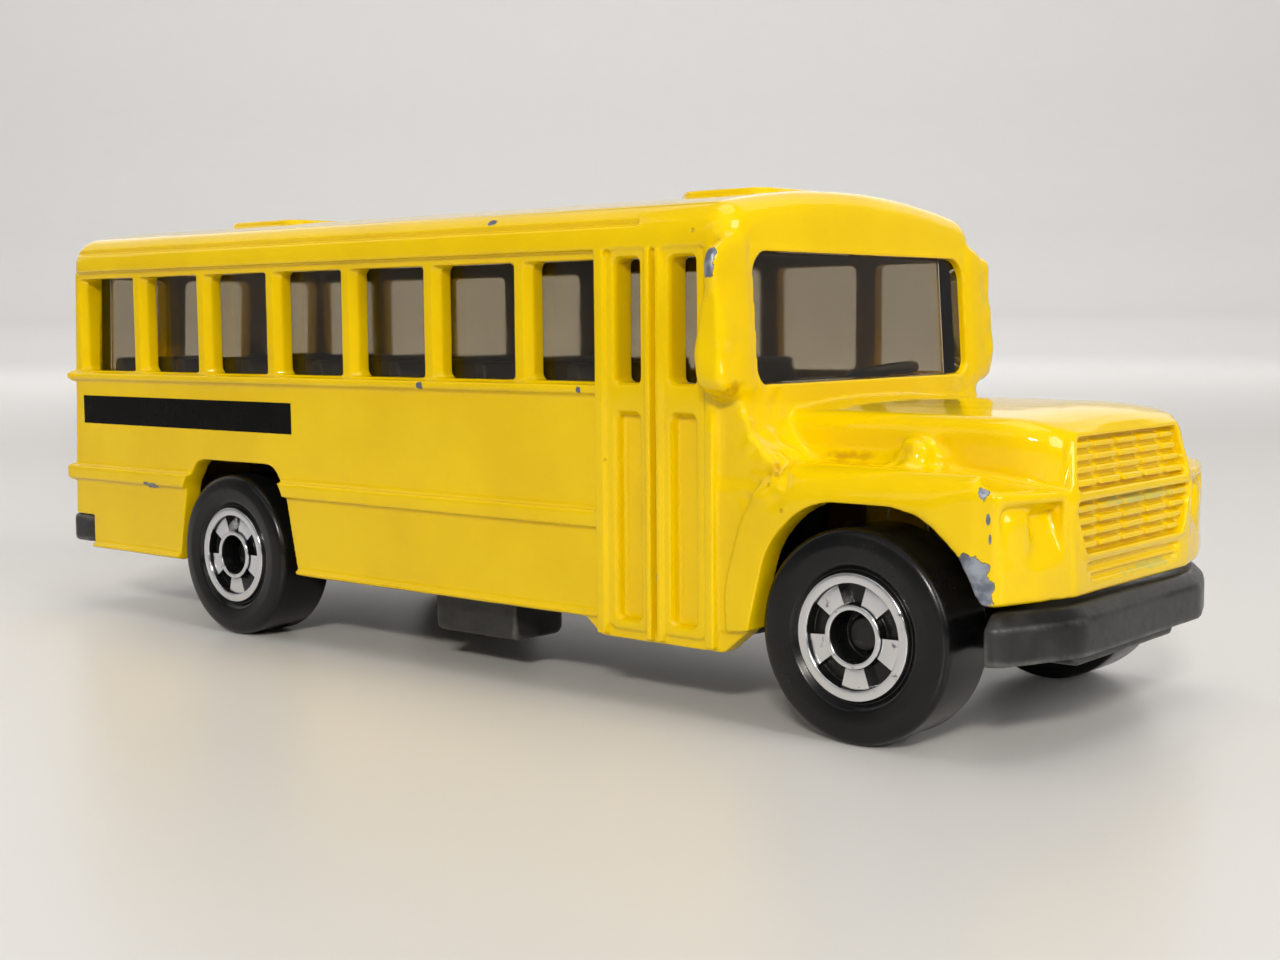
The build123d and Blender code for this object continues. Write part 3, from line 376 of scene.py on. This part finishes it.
blacks = {  # wear is low, high, scale and cover of the edges, gloss is the span of roughness, depth in mm
    "baseBlack": {
        "colour": (0.008, 0.008, 0.009, 1), "worn": (0.07, 0.07, 0.069, 1), "edge": (0.20, 0.20, 0.19, 1),
        "wear": (0.02, 0.09, 500.0, 0.62), "gloss": (0.26, 0.50),
        "grain": 2200.0, "depth": 0.03, "shine": 0.4,
    },
    "seatBlack": {
        "colour": (0.012, 0.012, 0.014, 1), "worn": (0.05, 0.05, 0.055, 1), "edge": (0.05, 0.05, 0.055, 1),
        "wear": (0.12, 0.40, 500.0, 0.45), "gloss": (0.30, 0.50),
        "grain": 1800.0, "depth": 0.02, "shine": 0.4,
    },
    "tyreBlack": {
        "colour": (0.003, 0.003, 0.0035, 1), "worn": (0.012, 0.012, 0.012, 1), "edge": (0.02, 0.02, 0.02, 1),
        "wear": (0.12, 0.40, 500.0, 0.45), "gloss": (0.14, 0.30),
        "grain": 1600.0, "depth": 0.01, "shine": 0.35,
    },
    "stripeInk": {
        "colour": (0.002, 0.002, 0.002, 1), "worn": (0.006, 0.006, 0.005, 1),
        "edge": (0.006, 0.006, 0.005, 1),
        "wear": (0.12, 0.40, 500.0, 0.45), "gloss": (0.20, 0.34),
        "grain": 2600.0, "depth": 0.004, "shine": 0.08,
    },
}


def mouldedBlack(name):
    look = blacks[name]
    smooth, dull = look["gloss"]
    material, tree, shader, place = newMaterial(name)
    grain = useGroup(tree, fineGrain, Place=place, Scale=look["grain"], Smooth=smooth, Dull=dull)
    wear = wornEdges(tree, place, *look["wear"])
    cloud = mapRange(tree, grain["Cloud"], 0.35, 0.75, 0.0, 0.5)
    shade = mixColour(tree, cloud, look["colour"], look["worn"])
    shade = mixColour(tree, mathNode(tree, "MULTIPLY", wear["Ridge"], 0.8), shade, look["edge"])
    tree.links.new(shade, shader.inputs["Base Color"])
    tree.links.new(grain["Roughness"], shader.inputs["Roughness"])
    tree.links.new(bumpNode(tree, grain["Height"], 0.35, look["depth"] * mm), shader.inputs["Normal"])
    shader.inputs["Specular IOR Level"].default_value = look["shine"]
    return material


chrome = {"bright": (0.78, 0.79, 0.82, 1), "rubbed": (0.20, 0.20, 0.21, 1), "gloss": (0.06, 0.22),
          "grain": 1800.0, "rubScale": 1500.0, "depth": 0.02}


def hubChrome():
    material, tree, shader, place = newMaterial("hubChrome")
    smooth, dull = chrome["gloss"]
    grain = useGroup(tree, fineGrain, Place=place, Scale=chrome["grain"], Smooth=smooth, Dull=dull)
    rub = mapRange(tree, noiseNode(tree, place, chrome["rubScale"], 4.0, 0.65), 0.62, 0.72)
    tree.links.new(mixColour(tree, rub, chrome["bright"], chrome["rubbed"]), shader.inputs["Base Color"])
    tree.links.new(grain["Roughness"], shader.inputs["Roughness"])
    tree.links.new(bumpNode(tree, grain["Height"], 0.2, chrome["depth"] * mm), shader.inputs["Normal"])
    shader.inputs["Metallic"].default_value = 1.0
    return material


# Axle steel, its colours darkened far below bare steel to paint the shade inside the hubs' eyes
eyeShadeSteel = {"dark": (0.035, 0.035, 0.037, 1), "pale": (0.07, 0.07, 0.073, 1), "gloss": (0.25, 0.5),
         "grain": 2500.0}


def steelShadedInEye():
    material, tree, shader, place = newMaterial("steelShadedInEye")
    smooth, dull = eyeShadeSteel["gloss"]
    grain = useGroup(tree, fineGrain, Place=place, Scale=eyeShadeSteel["grain"], Smooth=smooth, Dull=dull)
    tree.links.new(mixColour(tree, grain["Cloud"], eyeShadeSteel["dark"], eyeShadeSteel["pale"]), shader.inputs["Base Color"])
    tree.links.new(grain["Roughness"], shader.inputs["Roughness"])
    shader.inputs["Metallic"].default_value = 1.0
    return material


yellowPaint = yellowEnamel()
windowSmokeAndCabinGlow = smokeGlassWithCabinGlow()
baseBlack, seatBlack, tyreBlack, stripeInk = (mouldedBlack(name) for name in blacks)
foilChrome = hubChrome()
axleSteelInShade = steelShadedInEye()
print("finishes made")


# Cast and moulded pieces, softened from their CAD solids

# Lumps: corners of a box in mm with both sides folded together, fade, depth and pitch in mm
bodyLumps = [
    ((18.0, 12.0, 14.0), (25.0, 17.0, 27.0), 0.9, 0.18, 1.5),
    ((22.2, 8.4, 10.8), (25.8, 13.0, 17.4), 0.6, 0.16, 0.8),
    ((29.0, 8.0, 12.8), (32.2, 10.2, 14.7), 0.35, 0.22, 0.8),
    ((33.5, 8.0, 7.5), (37.6, 11.8, 11.8), 0.5, 0.14, 1.6),
]
# Melts: corners of a box in mm with both sides folded together, fade in mm, rounds of smoothing
bodyMelts = [
    ((22.6, -1.0, 13.0), (36.7, 12.6, 17.0), 0.6, 26),
    ((32.0, 7.4, 6.8), (37.6, 12.8, 13.2), 0.5, 36),
    ((36.9, -1.0, 6.8), (38.6, 8.4, 15.4), 0.25, 5),
    ((28.6, 7.0, 12.4), (32.4, 10.4, 15.4), 0.4, 26),
    ((20.0, 11.4, 15.6), (23.6, 15.2, 25.2), 0.5, 40),
    ((21.1, 10.5, 15.4), (24.0, 13.2, 25.2), 0.25, 40),
]
castings = {  # voxel and wave in mm
    "body_casting": {
        "name": "body_shell", "melts": bodyMelts, "lumps": bodyLumps, "voxel": 0.09, "smooth": 4,
        "wave": 0.04, "triangles": 190000, "finish": yellowPaint, "slot": "body_paint",
    },
    "base_plate": {
        "name": "base_moulding", "melts": [], "lumps": [], "voxel": 0.14, "smooth": 6,
        "wave": 0.03, "triangles": 90000, "finish": baseBlack, "slot": "base_plastic",
    },
    "seat_tray": {
        "name": "seat_moulding", "melts": [], "lumps": [], "voxel": 0.17, "smooth": 4,
        "wave": 0.0, "triangles": 60000, "finish": seatBlack, "slot": "seat_plastic",
    },
}
softening = {  # weld, wavePitch and meltMargin in mm
    "weld": 1e-4, "smoothing": 0.5, "wavePitch": 3.0, "meltMargin": 0.3, "meltPull": 0.5, "lumpSink": 0.15,
    "bendRounds": 2,
}


def vertexValues(mesh, kind):
    values = np.empty(len(mesh.vertices) * 3, np.float32)
    mesh.vertices.foreach_get(kind, values)
    return values.reshape(-1, 3)


def edgeEnds(mesh):
    ends = np.empty(len(mesh.edges) * 2, np.int32)
    mesh.edges.foreach_get("vertices", ends)
    return ends.reshape(-1, 2)


def insideBox(places, low, high):
    folded = places.copy()
    folded[:, 1] = np.abs(folded[:, 1])
    return np.minimum(folded - low, np.array(high) - folded).min(1)


def bendAttribute(mesh):
    count = len(mesh.vertices)
    places, normals = vertexValues(mesh, "co"), vertexValues(mesh, "normal")
    first, second = edgeEnds(mesh).T
    span = places[second] - places[first]
    span /= np.maximum(np.linalg.norm(span, axis=1), 1e-9)[:, None]
    number = np.maximum(np.bincount(first, minlength=count) + np.bincount(second, minlength=count), 1)
    up = (span * normals[first]).sum(1)
    down = -(span * normals[second]).sum(1)
    bend = (np.bincount(first, up, count) + np.bincount(second, down, count)) / number
    for _ in range(softening["bendRounds"]):
        bend = (np.bincount(first, bend[second], count) + np.bincount(second, bend[first], count)) / number
    attribute = mesh.attributes.new("bend", "FLOAT", "POINT")
    attribute.data.foreach_set("value", bend.astype(np.float32))


def melted(mesh, rows):
    places, ends = vertexValues(mesh, "co"), edgeEnds(mesh)
    for low, high, fade, rounds in rows:
        inside = insideBox(places, low, high)
        chosen = np.flatnonzero(inside > -softening["meltMargin"])
        total = len(chosen)
        local = np.full(len(places), -1, np.int32)
        local[chosen] = np.arange(total)
        links = local[ends]
        first, second = links[(links >= 0).all(1)].T
        number = np.bincount(first, minlength=total) + np.bincount(second, minlength=total)
        pull = softening["meltPull"] * np.clip(inside[chosen] / fade, 0.0, 1.0)[:, None]
        moved = places[chosen].astype(np.float64)
        for _ in range(rounds):
            mean = [
                np.bincount(first, moved[second, axis], total)
                + np.bincount(second, moved[first, axis], total)
                for axis in range(3)
            ]
            moved += (np.stack(mean, 1) / np.maximum(number, 1)[:, None] - moved) * pull
        places[chosen] = moved
    mesh.vertices.foreach_set("co", places.ravel())
    mesh.update()


def lumpy(mesh, rows):
    places, normals = vertexValues(mesh, "co"), vertexValues(mesh, "normal")
    smooth = places.copy()
    for low, high, fade, depth, pitch in rows:
        inside = insideBox(smooth, low, high)
        for index in np.flatnonzero(inside > 0):
            swell = noise.noise(Vector(places[index]) / pitch) - softening["lumpSink"]
            places[index] += normals[index] * (swell * min(1.0, inside[index] / fade) * depth)
    mesh.vertices.foreach_set("co", places.ravel())
    mesh.update()


def softened(node, settings):
    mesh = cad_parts[node].data.copy()
    mesh.transform(Matrix.Scale(1 / mm, 4))
    work = bmesh.new()
    work.from_mesh(mesh)
    bmesh.ops.remove_doubles(work, verts=work.verts, dist=softening["weld"])
    work.to_mesh(mesh)
    work.free()
    piece = addObject(settings["name"], mesh)
    remesh = piece.modifiers.new("remesh", "REMESH")
    remesh.mode = "VOXEL"
    remesh.voxel_size = settings["voxel"]
    smooth = piece.modifiers.new("smooth", "SMOOTH")
    smooth.factor = softening["smoothing"]
    smooth.iterations = settings["smooth"]
    if settings["wave"]:
        cloud = bpy.data.textures.new(settings["name"] + "Wave", "CLOUDS")
        cloud.noise_scale = softening["wavePitch"]
        wave = piece.modifiers.new("wave", "DISPLACE")
        wave.texture = cloud
        wave.strength = settings["wave"]
        wave.texture_coords = "LOCAL"
    dense = evaluated(piece)
    piece.modifiers.clear()
    piece.data = dense
    melted(dense, settings["melts"])
    lumpy(dense, settings["lumps"])
    triangles = sum(len(face.vertices) - 2 for face in dense.polygons)
    thin = piece.modifiers.new("thin", "DECIMATE")
    thin.ratio = min(1.0, settings["triangles"] / triangles)
    final = evaluated(piece)
    piece.modifiers.clear()
    piece.data = final
    final.transform(Matrix.Scale(mm, 4))
    final.polygons.foreach_set("use_smooth", [True] * len(final.polygons))
    bendAttribute(final)
    print(settings["name"], "triangles", triangles, "to", len(final.polygons))
    return piece


for node, settings in castings.items():
    dress(softened(node, settings), settings["finish"], "bus", settings["slot"], node)

# The axles take the darkened steel that paints the shade inside the hubs' eyes
for node, finish in (("window_insert", windowSmokeAndCabinGlow), ("front_axle", axleSteelInShade), ("rear_axle", axleSteelInShade)):
    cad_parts[node].data.materials.clear()
    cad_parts[node].data.materials.append(finish)


# Wheels turned from one profile, with foil on the hub face made by a node tree

wheelMould = {"faceY": 12.0, "segments": 128, "cornerSteps": 5, "cornerShare": 0.49}
wheelProfile = [  # radius and depth from the face in mm, corner rounding
    (0.60, -4.2, 0.0),
    (0.60, -1.7, 0.0),
    (1.27, -1.7, 0.08),
    (1.27, -0.25, 0.08),
    (1.56, -0.25, 0.08),
    (1.56, -0.8, 0.10),
    (2.58, -0.8, 0.10),
    (2.58, -0.2, 0.06),
    (3.10, -0.2, 0.06),
    (3.22, -0.42, 0.08),
    (3.55, -0.1, 0.35),
    (4.30, 0.0, 0.9),
    (5.25, -0.1, 0.95),
    (5.25, -3.9, 0.35),
    (4.70, -4.2, 0.2),
    (4.25, -4.2, 0.1),
    (4.25, -1.7, 0.3),
    (1.56, -1.7, 0.2),
    (1.56, -4.2, 0.1),
]
wheels = {
    "front_right": ("front_axle", -1),
    "front_left": ("front_axle", 1),
    "rear_right": ("rear_axle", -1),
    "rear_left": ("rear_axle", 1),
}


def roundedProfile(rows, steps):
    line = []
    for index, (radius, depth, curve) in enumerate(rows):
        here = Vector((radius, depth))
        before = Vector(rows[index - 1][:2]) - here
        after = Vector(rows[(index + 1) % len(rows)][:2]) - here
        half = before.angle(after) / 2
        reach = curve / math.tan(half) if curve else 0.0
        reach = min(reach, wheelMould["cornerShare"] * min(before.length, after.length))
        if reach < 1e-6:
            line.append(here)
            continue
        start, end = here + before.normalized() * reach, here + after.normalized() * reach
        for step in range(steps + 1):
            t = step / steps
            line.append(start * (1 - t) ** 2 + here * 2 * t * (1 - t) + end * t * t)
    return line


def latheMesh(name, line, segments):
    work = bmesh.new()
    rings = []
    for step in range(segments):
        angle = 2 * math.pi * step / segments
        rings.append([work.verts.new((p.x * math.cos(angle), p.x * math.sin(angle), p.y)) for p in line])
    for step in range(segments):
        ring, following = rings[step], rings[(step + 1) % segments]
        for index in range(len(line)):
            onward = (index + 1) % len(line)
            work.faces.new((ring[index], following[index], following[onward], ring[onward]))
    bmesh.ops.recalc_face_normals(work, faces=work.faces)
    mesh = bpy.data.meshes.new(name)
    work.to_mesh(mesh)
    work.free()
    mesh.polygons.foreach_set("use_smooth", [True] * len(mesh.polygons))
    return mesh


hubFoil = {
    "Ring Radius": 2.84, "Ring Width": 0.50, "Ring Height": -0.19,
    "Eye Radius": 1.415, "Eye Width": 0.27, "Eye Height": -0.24,
    "Spoke Radius": 2.07, "Spoke Width": 1.06, "Spoke Height": -0.58,
    "Spoke Angle": math.radians(36.0), "Spoke Count": 5, "Phase": math.radians(-15.5),
    "Ring Depth": 0.16, "Spoke Depth": 0.50, "Edge": 0.06,
}
foilSteps = {"ring": 128, "eye": 96, "spoke": 14, "edge": 3}


def hubFoilTree():
    tree = bpy.data.node_groups.new("hubFoil", "GeometryNodeTree")
    tree.is_modifier = True
    tree.interface.new_socket("Geometry", in_out="OUTPUT", socket_type="NodeSocketGeometry")
    for label, value in hubFoil.items():
        kind = "NodeSocketInt" if isinstance(value, int) else "NodeSocketFloat"
        socket = tree.interface.new_socket(label, in_out="INPUT", socket_type=kind)
        socket.default_value = value
    tree.interface.new_socket("Finish", in_out="INPUT", socket_type="NodeSocketMaterial")
    into, out = tree.nodes.new("NodeGroupInput"), tree.nodes.new("NodeGroupOutput")
    size = into.outputs

    def swept(path, width, depth, height):
        outline = addNode(tree, "GeometryNodeCurvePrimitiveQuadrilateral", Width=width, Height=depth)
        soft = addNode(
            tree, "GeometryNodeFilletCurve", {"mode": "POLY"}, Curve=outline.outputs[0],
            Count=foilSteps["edge"], Radius=size["Edge"],
        )
        upright = addNode(tree, "GeometryNodeSetCurveNormal", {"mode": "Z_UP"}, Curve=path)
        band = addNode(
            tree, "GeometryNodeCurveToMesh", Curve=upright.outputs[0], Profile_Curve=soft.outputs[0],
            Fill_Caps=True,
        )
        lift = addNode(tree, "ShaderNodeCombineXYZ", Z=height).outputs[0]
        placed = addNode(tree, "GeometryNodeTransform", Geometry=band.outputs[0], Translation=lift)
        return placed.outputs[0]

    circle = "GeometryNodeCurvePrimitiveCircle"
    ring = addNode(tree, circle, Resolution=foilSteps["ring"], Radius=size["Ring Radius"])
    eye = addNode(tree, circle, Resolution=foilSteps["eye"], Radius=size["Eye Radius"])
    start = mathNode(tree, "MULTIPLY", size["Spoke Angle"], -0.5)
    arc = addNode(
        tree, "GeometryNodeCurveArc", Resolution=foilSteps["spoke"], Radius=size["Spoke Radius"],
        Start_Angle=start, Sweep_Angle=size["Spoke Angle"],
    )
    spoke = swept(arc.outputs[0], size["Spoke Width"], size["Spoke Depth"], size["Spoke Height"])
    points = addNode(tree, "GeometryNodePoints", Count=size["Spoke Count"])
    index = tree.nodes.new("GeometryNodeInputIndex").outputs[0]
    turn = mathNode(tree, "DIVIDE", mathNode(tree, "MULTIPLY", index, 2 * math.pi), size["Spoke Count"])
    turn = mathNode(tree, "ADD", turn, size["Phase"])
    spin = addNode(tree, "ShaderNodeCombineXYZ", Z=turn).outputs[0]
    spokes = addNode(
        tree, "GeometryNodeInstanceOnPoints", Points=points.outputs[0], Instance=spoke, Rotation=spin,
    )
    join = tree.nodes.new("GeometryNodeJoinGeometry")
    for part in (
        swept(ring.outputs[0], size["Ring Width"], size["Ring Depth"], size["Ring Height"]),
        swept(eye.outputs[0], size["Eye Width"], size["Ring Depth"], size["Eye Height"]),
        spokes.outputs[0],
    ):
        tree.links.new(part, join.inputs[0])
    solid = addNode(tree, "GeometryNodeRealizeInstances", Geometry=join.outputs[0])
    shade = addNode(tree, "GeometryNodeSetShadeSmooth", Geometry=solid.outputs[0])
    dressed = addNode(tree, "GeometryNodeSetMaterial", Geometry=shade.outputs[0], Material=size["Finish"])
    tree.links.new(dressed.outputs[0], out.inputs[0])
    return tree


foilTree = hubFoilTree()


def foilMesh():
    holder = addObject("foilHolder", bpy.data.meshes.new("foilHolder"))
    modifier = holder.modifiers.new("hubFoil", "NODES")
    modifier.node_group = foilTree
    for item in foilTree.interface.items_tree:
        if item.in_out == "INPUT":
            modifier[item.identifier] = foilChrome if item.name == "Finish" else hubFoil[item.name]
    mesh = evaluated(holder)
    bpy.data.objects.remove(holder)
    return mesh


def stood(source, stand):
    mesh = source.copy()
    mesh.transform(stand)
    work = bmesh.new()
    work.from_mesh(mesh)
    bmesh.ops.recalc_face_normals(work, faces=work.faces)
    work.to_mesh(mesh)
    work.free()
    bendAttribute(mesh)
    return mesh


turnedLine = roundedProfile(wheelProfile, wheelMould["cornerSteps"])
turned = latheMesh("wheelTurned", turnedLine, wheelMould["segments"])
foil = foilMesh()
for corner, (axle, side) in wheels.items():
    low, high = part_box(axle)
    centre = (low + high) / 2
    place = Matrix.Translation((centre.x, side * wheelMould["faceY"] * mm, centre.z))
    flip = Matrix.Scale(-1, 4, (0, 1, 0)) if side > 0 else Matrix.Identity(4)
    stand = place @ flip @ Matrix.Rotation(math.radians(90), 4, "X") @ Matrix.Scale(mm, 4)
    body = corner + "_wheel"
    wheel = addObject("wheel_" + corner + "_moulding", stood(turned, stand))
    dress(wheel, tyreBlack, body, "wheel_plastic", "wheel_" + corner)
    hub = addObject("hub_foil_" + corner, stood(foil, stand))
    dress(hub, foilChrome, body, "hub_chrome")
print("wheels turned and foiled")


# Printed stripe low on both sides

sideStripe = {  # places in mm
    "rear": -36.05, "front": -12.75, "low": 13.37, "high": 15.33, "panelY": 11.8, "proud": 0.02,
    "columns": 60, "rows": 6,
}


def stripeMesh(side):
    work = bmesh.new()
    columns, rows = sideStripe["columns"], sideStripe["rows"]
    bmesh.ops.create_grid(work, x_segments=columns, y_segments=rows, size=0.5)
    long = sideStripe["front"] - sideStripe["rear"]
    tall = sideStripe["high"] - sideStripe["low"]
    for vert in work.verts:
        x = sideStripe["rear"] + (vert.co.x + 0.5) * long
        z = sideStripe["low"] + (vert.co.y + 0.5) * tall
        vert.co = Vector((x, side * (sideStripe["panelY"] + sideStripe["proud"]), z)) * mm
    mesh = bpy.data.meshes.new("sideStripe")
    if side > 0:
        bmesh.ops.reverse_faces(work, faces=work.faces)
    work.to_mesh(mesh)
    work.free()
    return mesh


for label, side in (("right", -1), ("left", 1)):
    dress(addObject("stripe_" + label, stripeMesh(side)), stripeInk, "bus", "stripe_ink")
print("stripes printed")


# Studio

studio = {
    "floor": (0.70, 0.69, 0.68, 1), "floorWarm": 0.97, "floorGrain": 60.0, "floorRoughness": 0.35,
    "floorSides": 96, "world": (0.92, 0.92, 0.93, 1), "worldStrength": 0.16,
    "sunPower": 0.25, "sunAngle": 70.0, "sunTurn": (30.0, 0.0, 40.0),
}
softboxes = [  # name, place, aim, width, height in m, power in W, colour
    ("lampLeft", (0.272, -0.476, 0.30), (0.0, 0.0, 0.012), 0.040, 0.040, 1.05, (1.0, 0.95, 0.86)),
    ("lampRight", (0.325, -0.445, 0.30), (0.0, 0.0, 0.012), 0.040, 0.040, 1.05, (1.0, 0.95, 0.86)),
    ("sideBox", (-0.12, -0.45, 0.30), (-0.01, 0.0, 0.012), 0.34, 0.20, 0.12, (1.0, 0.98, 0.95)),
    ("noseBox", (0.45, -0.02, 0.26), (0.03, 0.0, 0.012), 0.22, 0.20, 1.0, (1.0, 0.98, 0.95)),
    ("topBox", (0.02, 0.05, 0.50), (0.0, 0.0, 0.02), 0.40, 0.30, 0.65, (1.0, 0.99, 0.97)),
    ("leftBox", (-0.10, 0.50, 0.36), (0.0, 0.0, 0.012), 0.60, 0.45, 0.5, (1.0, 0.98, 0.95)),
    ("rearBox", (-0.50, 0.02, 0.30), (-0.03, 0.0, 0.012), 0.60, 0.45, 0.5, (1.0, 0.98, 0.95)),
    ("farBox", (-0.30, 0.36, 0.75), (-1.15, 1.35, 0.25), 0.80, 0.50, 10.0, (1.0, 0.99, 0.97)),
]
# Profile of the floor as it sweeps up behind: radius and height in m
sweep = [(0.9, 0.0), (1.15, 0.02), (1.35, 0.09), (1.5, 0.21), (1.6, 0.38), (1.65, 0.60), (1.66, 0.95)]
shot = {  # place in mm, turns in degrees, focal length in image pixels, near and far in m
    "place": (73.247, -79.658, 20.283), "yaw": 130.234, "pitch": -5.296, "roll": -0.447,
    "focal": 1715.344, "imageWidth": 1280, "sensor": 36.0, "near": 0.005, "far": 20.0,
}


def buildFloor():
    work = bmesh.new()
    sides = studio["floorSides"]
    turns = [2 * math.pi * step / sides for step in range(sides)]
    rings = []
    for radius, height in sweep:
        ring = [(radius * math.cos(turn), radius * math.sin(turn), height) for turn in turns]
        rings.append([work.verts.new(point) for point in ring])
    work.faces.new(rings[0])
    for inner, outer in zip(rings, rings[1:]):
        for step in range(sides):
            onward = (step + 1) % sides
            work.faces.new((inner[step], outer[step], outer[onward], inner[onward]))
    mesh = bpy.data.meshes.new("floor")
    work.to_mesh(mesh)
    work.free()
    mesh.polygons.foreach_set("use_smooth", [True] * len(mesh.polygons))
    floor = addObject("floor", mesh)
    material, tree, shader, place = newMaterial("paleFloor")
    grain = noiseNode(tree, place, studio["floorGrain"], 3.0, 0.5)
    warm = tuple(channel * studio["floorWarm"] for channel in studio["floor"][:3]) + (1,)
    tree.links.new(mixColour(tree, grain, studio["floor"], warm), shader.inputs["Base Color"])
    shader.inputs["Roughness"].default_value = studio["floorRoughness"]
    mesh.materials.append(material)


def buildLights():
    for name, place, aim, width, height, power, colour in softboxes:
        light = bpy.data.lights.new(name, "AREA")
        light.shape = "RECTANGLE"
        light.size, light.size_y = width, height
        light.energy = power
        light.color = colour
        lamp = bpy.data.objects.new(name, light)
        bpy.context.scene.collection.objects.link(lamp)
        lamp.location = place
        lamp.rotation_euler = (Vector(aim) - Vector(place)).to_track_quat("-Z", "Y").to_euler()
    sun = bpy.data.lights.new("softSky", "SUN")
    sun.energy = studio["sunPower"]
    sun.angle = math.radians(studio["sunAngle"])
    sky = bpy.data.objects.new("softSky", sun)
    sky.rotation_euler = [math.radians(turn) for turn in studio["sunTurn"]]
    bpy.context.scene.collection.objects.link(sky)
    world = bpy.data.worlds.new("studio")
    world.use_nodes = True
    backdrop = world.node_tree.nodes["Background"]
    backdrop.inputs["Color"].default_value = studio["world"]
    backdrop.inputs["Strength"].default_value = studio["worldStrength"]
    bpy.context.scene.world = world


def buildCamera():
    yaw, pitch, roll = (math.radians(shot[key]) for key in ("yaw", "pitch", "roll"))
    ahead = Vector((math.cos(pitch) * math.cos(yaw), math.cos(pitch) * math.sin(yaw), math.sin(pitch)))
    level = ahead.cross(Vector((0, 0, 1))).normalized()
    above = level.cross(ahead)
    right = math.cos(roll) * level + math.sin(roll) * above
    up = -math.sin(roll) * level + math.cos(roll) * above
    lens = bpy.data.cameras.new("photoView")
    lens.sensor_fit = "HORIZONTAL"
    lens.sensor_width = shot["sensor"]
    lens.lens = shot["focal"] * shot["sensor"] / shot["imageWidth"]
    lens.clip_start = shot["near"]
    lens.clip_end = shot["far"]
    camera = bpy.data.objects.new("photoView", lens)
    bpy.context.scene.collection.objects.link(camera)
    turn = Matrix((right, up, -ahead)).transposed().to_4x4()
    camera.matrix_world = Matrix.Translation(Vector(shot["place"]) * mm) @ turn
    bpy.context.scene.camera = camera


buildFloor()
buildLights()
buildCamera()
bpy.context.scene.view_settings.view_transform = "Standard"
print("studio ready")
